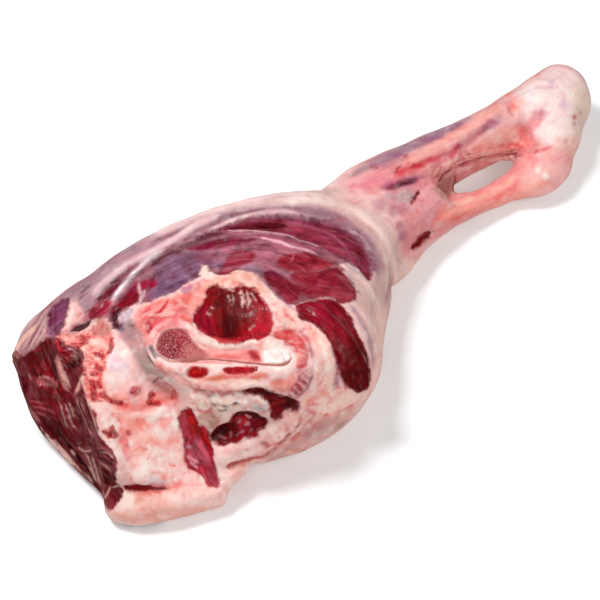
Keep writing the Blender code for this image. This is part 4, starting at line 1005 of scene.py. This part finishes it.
# Blood in the torn place beside the hip, with a stain round it, and holes too deep to see into, painted
# near-black as painted shade.
veins = np.abs(waves(points, 7, 41) + 0.25 * waves(points, 2.5, 42))
zones["blood_veins"] = np.minimum(zones["torn_place"], (0.025 - veins) * 24)
shown_edge = (in_view - 0.5) * 2 * FAR
blood = np.minimum(shown_edge, np.maximum.reduce([drawn(entry) for entry in entries("""
taut stroke 1.2 57,337 60,343 57,349 / 76,342 84,339 92,335 / 78,346 86,343 92,342 / 74,344 80,348 rough
  1.5 3 119
blood_veins
taut stroke 1.7 clot_loop / 95,361 97,367 104,370 / 84,364 84.5,377 / 89,373 98,374
taut stroke 1.5 clot_tail / 80,335 86,338 92,336 / clot_bow / 55,344 59,350 66,351
taut stroke 2.6 89,381 93,383 97,387 / 91,384 93,391 92,399 / 97,381 100,388
taut stroke 1.6 92,396 95,402 / 93,410 95,417 / 102,389 106,398 114,402 128,404 / 100,392 104,397
taut stroke 3 112,425 111,433 107,438 rough 1.5 3 89
taut stroke 2 103,431 108,433 / 113,430 116,438 / 128,432 129,434 rough 1 3 90
taut stroke 2 131,393 136,389 / 149,397 153,395 / 145,402 156,403 163,405 rough 1.5 3 91
""")]))
hollow = np.minimum(shown_edge, np.maximum.reduce([drawn(entry) for entry in entries("""
area 70,332 75,326 84,323 91,319 91,324 85,328 77,331
front_hole less 2.5
stroke 0.9 shank_crack rough 0.8 3 83
stroke 0.3 417,197 421,201 / 412,197 415,199
taut stroke 0.3 194,386 197,392 206,392 / 236,392 250,391 rough 1 4 59
""")]))
tint(pale_paint, "#c23c42", smooth_step(blood, -2.5, 0.5) * 0.5)

# The run of the fibres: millimetres across and along them at each point.
PIXEL = 0.68
grain_across = (points[:, 1] * 0.6 + points[:, 2]) / MM
grain_along = points[:, 0] / MM
front = zones["front"] > 0
outer = line_reach(curve_through("fibre_front"), true_place)
inner = line_reach(curve_through("fibre_back"), true_place)
runs = [(front, 60 * outer[0] / (outer[0] + inner[0] + 1e-6), outer[1])]
for zone, guide in (
    (zones["flank_muscle"] > -2, "296,306 325,318 345,345 356,392"),
    (zones["window_muscle"] > -6, "228,270 229,300 232,325 236,355"),
    (zones["red_strip"] > -3, "184,400 194,436 210,468 222,496"),
    (np.maximum(zones["pocket"], zones["dark_gap"]) > -3, "200,452 226,438 254,418 290,404 320,398"),
    (zones["rump_cut"] > -2, "26,340 40,380 66,420 90,460 112,508"),
    (zones["shank"] > 0, "330,205 400,176 460,148 540,102"),
    (zones["hip_side"] > 0, "308,330 320,350 322,380 306,408"),
):
    reach, run = line_reach(curve_through(guide), true_place)
    tips = curve_through(guide)[[0, -1]]
    heading = tips[1] - tips[0]
    side = np.sign((true_place - tips[0]) @ np.array([-heading[1], heading[0]]))
    runs.append((zone, side * reach * PIXEL, run))
for zone, across, along in runs:
    seen = zone & (in_view > 0.01)
    grain_across = np.where(seen, across, grain_across)
    grain_along = np.where(seen, along * PIXEL, grain_along)

# How much silver skin clings to each place, and where a net of membrane lies on the cut faces.
silver = np.where(front, 0.34, 0.04)
for name, inset, share in (
    ("shank", 0, 0.25), ("lobes", 0, 0.2), ("violet_patch", -4, 0.14), ("window_muscle", -6, 0.08),
    ("flank_muscle", 0, 0.15), ("rump_cut", 0, 0.14), ("pocket", -1, 0.15), ("dark_gap", -1, 0.15),
    ("red_strip", -1, 0.15),
):
    silver = np.where(zones[name] > inset, share, silver)
silver = silver * in_view + 0.5 * (1 - in_view)
net = smooth_step(zones["rump_cut"], -2, 2) * smooth_step(place[:, 0], 20, 70)
net += 0.15 * smooth_step(zones["pocket"], -2, 2)
net = net * in_view + 0.8 * smooth_step(cut_end, -2, 2) * (1 - in_view)

relief = averaged(relief[:, None], ends, 2)
relief[:, 0] += 0.5 * smooth_step(blood, -0.5, 1.5) * (1 + waves(points, 2.5, 118))
points += normals * relief * MM
points[:, 2] = np.maximum(points[:, 2], 0)
flesh.data.vertices.foreach_set("co", points.ravel())
flesh.data.update()

# Tone: painted shade that darkens and reddens the creases, a painted highlight that pales the crests,
# blotches in the muscle, mottled fat, and at the end purer colours, because the wet coat and the white room
# wash them out.
RED_SHADE, DARK_SHADE = np.array([0.8, 0.45, 0.47]), np.array([0.55, 0.4, 0.45])
dip = ((averaged(points, ends, 10) - points) * vectors(flesh.data, "normal")).sum(1) / MM
crease_shade = smooth_step(dip, 0.0, 0.45)[:, None]
crest_highlight = smooth_step(-dip, 0.05, 0.5)
# How much of the painted crease shade the muscle takes: less in the bone's window, the upper muscles and the
# red strip.
shallow = 0.6 - 0.5 * smooth_step(zones["window_muscle"], -6, 0)
shallow -= 0.35 * smooth_step(np.maximum(zones["upper_muscles"], zones["red_strip"]), -4, 0)
# Painted shade in the creases and a painted highlight on the crests, in the fat and in the muscle.
pale_paint *= 1 + crease_shade * (RED_SHADE - 1)
tint(pale_paint, "#fbe8e0", crest_highlight * 0.25)
muscle_paint *= 1 + crease_shade * shallow[:, None] * (DARK_SHADE - 1)
muscle_paint *= 1 + crest_highlight[:, None] * 0.25
blotch, freckle = waves(points, 6, 31), waves(points, 2.4, 32)
muscle_paint *= np.clip(1 + 0.4 * blotch + 0.25 * freckle, 0.4, 1.7)[:, None]
mottled = smooth_step(zones["slope"], -3, 6)
mottled = np.maximum(mottled, np.where(front, 0.1, 0.4) * (1 - 0.65 * smooth_step(zones["shank"], -8, 8)))
for hex_colour, field, share in (
    ("#fff0e8", waves(points, 9, 104) + 0.5 * waves(points, 3.5, 105), 0.7),
    ("#ea958c", waves(points, 8, 106) + 0.5 * waves(points, 3, 107) - 0.1, 0.6),
    (
        "#d06058",
        0.42 - 7 * np.abs(waves(points, 9, 108) + 0.3 * waves(points, 3, 109)) + 0.5 * waves(points, 14, 110),
        0.6,
    ),
):
    tint(pale_paint, hex_colour, smooth_step(field, 0.05, 0.6) * mottled * in_view * share)
tint(pale_paint, "#c9525a", smooth_step(blotch + 0.4 * freckle, 0.15, 0.9) * (loose * 0.55 + 0.2) * 0.6)
for paint, strength, gain in ((pale_paint, 1.26, 1.0), (muscle_paint, 1.3, 0.95)):
    grey = paint @ np.array([0.21, 0.72, 0.07])
    paint[:] = np.clip((grey[:, None] + (paint - grey[:, None]) * strength) * gain, 0.002, 0.92)
muscle_paint[:, 1:] *= (0.45 + 0.55 * smooth_step(muscle_paint[:, 0], 0.04, 0.35))[:, None]


def keep(mesh, name, values):
    """Stores a value at each point for the material to read."""
    if values.ndim == 1:
        kind, slot = "FLOAT", "value"
    elif name.endswith("paint"):
        kind, slot = "FLOAT_COLOR", "color"
        values = np.insert(values, 3, 1, axis=1)
    else:
        kind, slot = "FLOAT_VECTOR", "vector"
    mesh.attributes.new(name, kind, "POINT").data.foreach_set(slot, values.astype(np.float32).ravel())


for name, values in (
    ("muscle_paint", muscle_paint), ("pale_paint", pale_paint), ("bare", bare), ("blood", blood),
    ("hollow", hollow), ("silver", silver), ("net", net),
    ("grain", np.stack([grain_across, grain_along, points[:, 2] / MM], 1)),
):
    keep(flesh.data, name, values)


def new_material(name):
    made = bpy.data.materials.new(name)
    made.use_nodes = True
    return made, made.node_tree.nodes["Principled BSDF"]


def feed(made, node, socket, source):
    """Gives a node's input its value, or links it to the output that it reads."""
    if isinstance(source, bpy.types.NodeSocket):
        made.node_tree.links.new(source, node.inputs[socket])
    else:
        node.inputs[socket].default_value = source


def add(made, kind, inputs=(), out=0, **settings):
    """Adds a node and gives one of its outputs: the inputs are values or other nodes' outputs, by
    name or in their order, and the settings are the node's own."""
    node = made.node_tree.nodes.new("ShaderNode" + kind)
    for name, value in settings.items():
        setattr(node, name, value)
    for socket, source in inputs.items() if isinstance(inputs, dict) else enumerate(inputs):
        feed(made, node, socket, source)
    return node.outputs[out]


def solid(hex_colour):
    return (*linear(hex_colour), 1)


def flesh_material():
    """Raw meat some hours from the carcass: dense, damp, glossy where it was bared."""
    made, shader = new_material("raw_lamb_flesh")
    muscle, pale = (add(made, "Attribute", attribute_name=name) for name in ("muscle_paint", "pale_paint"))
    bare, blood, hollow, silver, net = (
        add(made, "Attribute", out="Fac", attribute_name=name)
        for name in ("bare", "blood", "hollow", "silver", "net")
    )
    grain = add(made, "Attribute", out="Vector", attribute_name="grain")
    spot = add(made, "TexCoord", out="Object")
    smooth = {"interpolation_type": "SMOOTHSTEP"}

    # Patterns by their size in millimetres: threads, bands and folds along the fibres, then
    # mottling, fine grain, beads of moisture and ravelled edges, the same every way.
    thread, band, fold = (
        add(made, "TexNoise", {
            "Vector": add(made, "Mapping", {"Vector": grain, "Scale": (1 / across, 1 / along, 0.1)}),
            "Scale": 1.0, "Detail": detail, "Roughness": 0.6,
        })
        for across, along, detail in ((1.0, 20, 3), (2.8, 42, 3), (5, 38, 2))
    )
    mottle, fine, blot, ravel = (
        add(made, "TexNoise", {"Vector": spot, "Scale": 1 / (size * MM), "Detail": detail, "Roughness": 0.6})
        for size, detail in ((6, 4), (1.5, 4), (2.6, 2), (4.5, 2))
    )

    # Muscle is dark between its fibres, webbed with membrane where it was cut, and filmed with silver skin,
    # whose pale streaks on it are partly the skin's own colour and partly a painted sheen. Fat and membrane
    # are pink and cream in patches, under strands of silver skin.
    # Each tone: where it lies, its pattern, the range over which it comes, how much, and colour.
    fibrous = add(made, "Math", (net, -0.65, 1.0), operation="MULTIPLY_ADD")
    crease = add(made, "Math", (add(made, "Math", (fold, 0.5), operation="SUBTRACT"),), operation="ABSOLUTE")
    webbed = add(made, "MapRange", (mottle, 0.38, 0.62), **smooth)
    webbed = add(made, "Math", (net, webbed), operation="MULTIPLY")
    muscle_tones = (
        (fibrous, band, 0.3, 0.6, 0.4, 0.0, "#3f0a14"),
        (fibrous, thread, 0.3, 0.5, 0.25, 0.0, "#4a0d18"),
        (1.0, thread, 0.55, 0.8, 0.0, 0.12, "#c0686c"),
        (webbed, crease, 0.0, 0.045, 0.55, 0.0, "#8e625c"),
        # Partly a painted sheen: the silver skin's pale streaks on the muscle.
        (silver, band, 0.5, 0.7, 0.0, 0.45, "#bd9caa"),
        (silver, thread, 0.55, 0.75, 0.0, 0.26, "#dcc4ca"),
    )
    pale_tones = (
        (1.0, mottle, 0.45, 0.75, 0.0, 0.22, "#cf7f7c"),
        (1.0, mottle, 0.5, 0.25, 0.0, 0.16, "#f9e6dc"),
        (1.0, fine, 0.55, 0.8, 0.0, 0.2, "#fff1ea"),
        (1.0, fine, 0.42, 0.2, 0.0, 0.25, "#b06a68"),
        (silver, band, 0.5, 0.34, 0.0, 0.45, "#755462"),
        (silver, thread, 0.52, 0.78, 0.0, 0.4, "#efdedd"),
    )
    toned = []
    for colour, tones in ((muscle, muscle_tones), (pale, pale_tones)):
        for share, pattern, *reach, tone in tones:
            amount = add(made, "MapRange", (pattern, *reach), **smooth)
            amount = add(made, "Math", (share, amount), operation="MULTIPLY")
            colour = add(made, "Mix", {0: amount, 6: colour, 7: solid(tone)}, out=2, data_type="RGBA")
        toned.append(colour)
    muscle, pale = toned

    # Edges tear along the fibres where silver skin is. Blood lies over all, then the holes, whose near-black
    # is painted shade.
    swing = add(made, "MapRange", (band, 0.3, 0.7, -5.0, 5.0), **smooth)
    feather = add(made, "Math", (swing, silver, bare), operation="MULTIPLY_ADD")
    widening = add(made, "Math", (silver, 2.5, 1.0), operation="MULTIPLY_ADD")
    feather = add(made, "Math", (feather, widening), operation="DIVIDE")
    torn = []
    for field, wobble, fade in ((feather, 0.8, 1.3), (blood, 1.6, 1.2), (hollow, 1.0, 1.2)):
        shaken = add(made, "MapRange", (ravel, 0.25, 0.75, -wobble, wobble), **smooth)
        shaken = add(made, "Math", (field, shaken), operation="ADD")
        torn.append(add(made, "MapRange", (shaken, -fade, fade), **smooth))
    is_muscle, is_blood, is_hollow = torn
    fluid = add(made, "MapRange", (blot, 0.36, 0.56), **smooth)
    fluid = add(made, "Mix", {0: fluid, 6: solid("#560208"), 7: solid("#b8191f")}, out=2, data_type="RGBA")
    depth = add(made, "MapRange", (ravel, 0.3, 0.6, 0.95, 0.7), **smooth)
    colour = pale
    # The holes' near-black: painted shade.
    dark = solid("#240408")
    for share, amount, tone in ((is_muscle, 1.0, muscle), (is_blood, depth, fluid), (is_hollow, 0.85, dark)):
        amount = add(made, "Math", (share, amount), operation="MULTIPLY")
        colour = add(made, "Mix", {0: amount, 6: colour, 7: tone}, out=2, data_type="RGBA")

    # A dull body under a film of moisture, which is thicker in patches and on bared muscle.
    rough = add(made, "MapRange", (mottle, 0.3, 0.7, 0.34, 0.5), **smooth)
    wettest = add(made, "Math", (is_muscle, is_blood), operation="MAXIMUM")
    rough = add(made, "Math", (wettest, -0.1, rough), operation="MULTIPLY_ADD")
    ridges = add(made, "Math", (silver, 0.15), operation="ADD")
    height = add(made, "Math", (fine, 0.6, ravel), operation="MULTIPLY_ADD")
    height = add(made, "Math", (thread, ridges, height), operation="MULTIPLY_ADD")
    beads = add(made, "Math", (thread, 0.4, blot), operation="MULTIPLY_ADD")
    wet = add(made, "MapRange", (ravel, 0.45, 0.65, 0.03, 0.4), **smooth)
    wet_blood = add(made, "Math", (is_blood, 0.5), operation="MULTIPLY")
    wet = add(made, "Math", (wet, wet_blood), operation="MAXIMUM")
    bared = add(made, "Math", (is_muscle, 0.5, 0.5), operation="MULTIPLY_ADD")
    bared = add(made, "Math", (bared, is_hollow), operation="SUBTRACT")
    for socket, source in {
        "Base Color": colour, "Roughness": rough,
        "Normal": add(made, "Bump", {"Height": height, "Strength": 0.55, "Distance": 0.9 * MM}),
        "Coat Weight": add(made, "Math", (wet, bared), operation="MULTIPLY"), "Coat Roughness": 0.12,
        "Coat Normal": add(made, "Bump", {"Height": beads, "Strength": 0.35, "Distance": 0.8 * MM}),
        "Subsurface Weight": 0.15, "Subsurface Radius": (1.0, 0.35, 0.2), "Subsurface Scale": 1.5 * MM,
        "Specular IOR Level": 0.12,
    }.items():
        feed(made, shader, socket, source)
    return made


flesh.data.materials.clear()
flesh.data.materials.append(flesh_material())
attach(flesh, "root")
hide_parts("leg")


# The hip bone where the saw crossed it: spongy bone full of marrow at the thick end, a rim of
# hard bone round it, then the thin bar that runs to white cartilage. It sits in its socket in
# the flesh, a little below the cut.
BONE_GRID = 0.8
SUNK = 1.2
bone = new_piece("hip_bone_sawn", node_copy("hip_bone"))
refine(bone, BONE_GRID, 6)
points = vectors(bone.data, "co")
normals = vectors(bone.data, "normal")
place = photo_place(points) + np.stack([waves(points, 5, 21), waves(points, 5, 22)], 1) * 0.8
top = smooth_step(normals[:, 2], 0.5, 0.9)
outline = drawn("area bone_outline")
bone_paint = np.tile(linear("#f0c6bc"), (len(points), 1))
lay_paint(bone_paint, """
#e8857f 3 area 188,350 215,348 250,347 266,350 262,362 230,364 196,362
#f2a49c 2 stroke 2 200,352 220,351 244,350 / 208,360 230,360 250,361
#d4625e 3 stroke 2 212,356 226,355 240,357
#f3b9b0 2.5 stroke 2.5 196,336 210,341 230,342 252,340 268,341
#f3c4bc 1.5 stroke 1.5 196,364 220,364 244,365 262,367
#a82a34 3 area 247,351 254,348 260,354 262,359 254,359 250,356 rough 1.5 3 27
#f6e0da 4 area 263,347 276,343 290,349 292,362 284,370 270,369 264,362
#c9b4b4 1.2 stroke 0.8 275,347 282,354 286,364
#f4b4ac 2 stroke 2.6 154,352 153,340 160,328 174,323 187,327 196,338
#962630 3 area 156,343 162,331 174,326.5 186,329 194,341 203,352 192,361 172,361 160,356
#7a141c 4 area 157,344 162,333 171,330 178,342 176,358 163,354
#b4605e 4 area 186,342 196,347 210,354 200,362 188,360 184,352
""", top)
wall = (1 - top) * np.maximum(smooth_step(-outline, 1.0, 3.0), smooth_step(place[:, 0], 168, 186))
tint(bone_paint, "#cf8a84", wall)
tint(bone_paint, "#4a1038", smooth_step(drawn("stroke 2.8 150,343 152,350 156,356 161,361"), -1.2, 1.2))

# The rim and the bar stand up, the marrow sinks in, and the cartilage is a low dome. Each: a
# height in millimetres, the pixels over which it comes, and where it lies.
bone_relief = 0.25 * waves(points, 5, 23) + 0.15 * waves(points, 2, 24) - 1 + smooth_step(outline, 0, 3.5)
for height, low, high, words in (
    (0.45, 0, 2, "stroke 2.6 154,352 153,340 160,328 174,323 187,327 196,338 212,345 240,346 262,345"),
    (0.35, 0, 2, "stroke 2.6 158,358 176,364 200,365 230,365 262,368"),
    (-0.5, -1, 3, "area 204,351 230,349 258,349 262,358 236,361 206,360"),
    (0.6, -1, 4, "area 264,347 276,343 290,349 291,361 284,369 270,368"),
):
    bone_relief += height * smooth_step(drawn(words), low, high)
tucked = smooth_step(-outline, 1, 4) * smooth_step(350 - place[:, 1], 0, 4)
points -= np.array(toward_eye) * (3 * tucked * MM)[:, None]
points[:, 2] -= SUNK * MM
bone.data.vertices.foreach_set("co", (points + normals * (bone_relief * top * MM)[:, None]).ravel())
bone.data.update()
stains = 0.2 * waves(points, 4, 25)[:, None] * [0.6, 1.2, 1.2] + 0.14 * waves(points, 1.8, 26)[:, None]
bone_paint *= 1 + stains
spongy = drawn("area 156,343 162,330 174,326 187,330 196,344 206,356 196,362 172,362 160,356")
keep(bone.data, "bone_paint", np.clip(bone_paint, 0, 0.9))
keep(bone.data, "spongy", smooth_step(spongy, -1, 3) * top)


def bone_material():
    """Fresh bone cut by a saw: pink spongy bone with marrow between its struts."""
    made, shader = new_material("sawn_bone")
    paint = add(made, "Attribute", attribute_name="bone_paint")
    spongy = add(made, "Attribute", out="Fac", attribute_name="spongy")
    spot = add(made, "TexCoord", out="Object")
    struts = add(made, "TexNoise", {"Vector": spot, "Scale": 1 / (1.0 * MM), "Detail": 3.0})
    struts = add(made, "MapRange", (struts, 0.46, 0.6))
    patchy = add(made, "TexNoise", {"Vector": spot, "Scale": 1 / (2.2 * MM), "Detail": 4.0})
    patchy = add(made, "MapRange", (patchy, 0.36, 0.62, 0.2, 0.9))
    lit = add(made, "Math", (struts, patchy), operation="MULTIPLY")
    lit = add(made, "Math", (lit, spongy), operation="MULTIPLY")
    for socket, source in {
        "Base Color": add(made, "Mix", {0: lit, 6: paint, 7: solid("#dc8c8e")}, out=2, data_type="RGBA"),
        "Normal": add(made, "Bump", {"Height": lit, "Strength": 0.6, "Distance": 0.8 * MM}),
        "Roughness": 0.45, "Specular IOR Level": 0.15, "Coat Weight": 0.15, "Coat Roughness": 0.12,
    }.items():
        feed(made, shader, socket, source)
    return made


bone.data.materials.clear()
bone.data.materials.append(bone_material())
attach(bone, "root")
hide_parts("hip_bone")


# Folds of torn membrane along the slit's upper edge, pulled up when the sinews were parted:
# thin, crumpled, drying at their edges.
surface = BVHTree.FromObject(flesh, bpy.context.evaluated_depsgraph_get())
CORD_SIDES = 10


def on_flesh(across, down):
    """The point of the flesh that shows at a pixel of the photograph, and its normal."""
    ray = eye_right * (across - PICTURE / 2) - eye_up * (down - PICTURE / 2)
    ray = ray * FILM / LENS / PICTURE - toward_eye
    return surface.ray_cast(eye, ray.normalized())[:2]


def tissue(name, dark, light, grain, wet):
    """Damp tissue: two colours in small patches, a fine bump, and a wet coat."""
    made, shader = new_material(name)
    spot = add(made, "TexCoord", out="Object")
    patch = add(made, "TexNoise", {"Vector": spot, "Scale": 1 / (grain * MM), "Detail": 4.0})
    amount = add(made, "MapRange", (patch, 0.4, 0.62))
    for socket, source in {
        "Base Color": add(made, "Mix", {0: amount, 6: solid(dark), 7: solid(light)}, out=2, data_type="RGBA"),
        "Normal": add(made, "Bump", {"Height": patch, "Strength": 0.5, "Distance": 0.5 * MM}),
        "Roughness": 0.45, "Specular IOR Level": 0.2, "Coat Weight": wet, "Coat Roughness": 0.08,
    }.items():
        feed(made, shader, socket, source)
    return made


def lay_on(name, bm, material):
    """Fuses and finishes a separate piece that lies on the leg."""
    bmesh.ops.recalc_face_normals(bm, faces=bm.faces)
    piece = new_piece(name, bm)
    refine(piece, 0.5, 2)
    piece.data.materials.append(material)
    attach(piece, "root")


def cord(bm, text, radius, flat, seed):
    """A closed cord laid on the flesh along marks on the photograph, thinning to its ends."""
    line = [on_flesh(*mark) for mark in curve_through(text)]
    line = [(spot, normal) for spot, normal in line if spot is not None]
    thick = 1 + 0.4 * waves(np.array([spot for spot, _ in line]), 6, seed)
    rings = []
    for i, (spot, normal) in enumerate(line):
        ahead = line[min(i + 1, len(line) - 1)][0] - line[max(i - 1, 0)][0]
        side = ahead.cross(normal).normalized()
        size = radius * MM * thick[i] * (0.25 + 0.75 * math.sin(math.pi * (i + 0.5) / len(line)))
        ring = []
        for step in range(CORD_SIDES):
            turn = math.tau * step / CORD_SIDES
            offset = side * math.cos(turn) + normal * (math.sin(turn) * flat + 0.1)
            ring.append(bm.verts.new(spot + offset * size))
        rings.append(ring)
    for low, high in zip(rings, rings[1:]):
        for step in range(CORD_SIDES):
            bm.faces.new((low[step], low[step - 1], high[step - 1], high[step]))
    bm.faces.new(rings[0])
    bm.faces.new(rings[-1])


folds = bmesh.new()
for seed, (text, radius) in enumerate((
    ("437,180 441,173 448,168 456,164", 2.1), ("452,163 462,159 472,156 480,155", 1.68),
    ("470,163 480,160 490,158", 1.82), ("494,156 506,153 516,152", 1.68), ("505,151 514,149 522,150", 1.4),
    ("432,178 438,170 446,165", 1.68),
)):
    cord(folds, text, radius, 0.4, 80 + seed)
lay_on("torn_folds", folds, tissue("torn_membrane", "#c8706c", "#eaa096", 4.5, 0.2))


# The dried tip of the flank: two small lumps of flesh at the loin end that the air turned brown
# and hard, left hanging where the knife parted them from the belly.
def lump(bm, across, down, radius, height):
    """A rounded lump on the flesh, its radius and height in millimetres."""
    spot, normal = on_flesh(across, down)
    turn = normal.to_track_quat("Z", "Y").to_matrix()
    made = bmesh.ops.create_icosphere(bm, subdivisions=4, radius=1)["verts"]
    ball = np.array([turn @ Vector((v.co.x * radius, v.co.y * radius, v.co.z * height)) for v in made]) * MM
    at = ball + np.array(spot)
    ball *= 1 + 0.35 * waves(at, 1.6 * radius, 71)[:, None] + 0.12 * waves(at, 0.8 * radius, 72)[:, None]
    for vert, offset in zip(made, ball):
        vert.co = spot + Vector(offset)


tip = bmesh.new()
lump(tip, 16.5, 357, 3.6, 2.6)
lump(tip, 17, 362, 2.8, 2.0)
lay_on("dried_tip", tip, tissue("dried_flesh", "#6e2c28", "#a8645a", 3.0, 0.2))


# Studio: a pale floor without an edge, a broad soft lamp high behind the leg, a weaker one in
# front of it, and a white room.
floor_bm = bmesh.new()
bmesh.ops.create_grid(floor_bm, x_segments=1, y_segments=1, size=3)
floor = new_piece("floor", floor_bm)
sweep, sweep_shader = new_material("white_sweep")
for socket, value in {
    "Base Color": solid("#eff2f2"), "Roughness": 0.9, "Specular IOR Level": 0.1,
    "Emission Color": (1, 1, 1, 1), "Emission Strength": 0.18,
}.items():
    feed(sweep, sweep_shader, socket, value)
floor.data.materials.append(sweep)
floor.visible_glossy = False

for name, stand, size, power in (("key", (-0.3, 0.45, 1.3), 0.4, 15), ("fill", (0.35, -1.1, 1.1), 0.7, 6)):
    lamp = bpy.data.objects.new(name, bpy.data.lights.new(name, "AREA"))
    lamp.data.size = size
    lamp.data.energy = power
    lamp.location = stand
    lamp.rotation_euler = (Vector(stand) - Vector((0.08, 0, 0.03))).to_track_quat("Z", "Y").to_euler()
    bpy.context.scene.collection.objects.link(lamp)
world = bpy.data.worlds.new("white_room")
world.use_nodes = True
world.node_tree.nodes["Background"].inputs["Color"].default_value = (1, 1, 1, 1)
world.node_tree.nodes["Background"].inputs["Strength"].default_value = 0.36
bpy.context.scene.world = world
world.cycles_visibility.glossy = False
bpy.context.scene.view_settings.view_transform = "Standard"
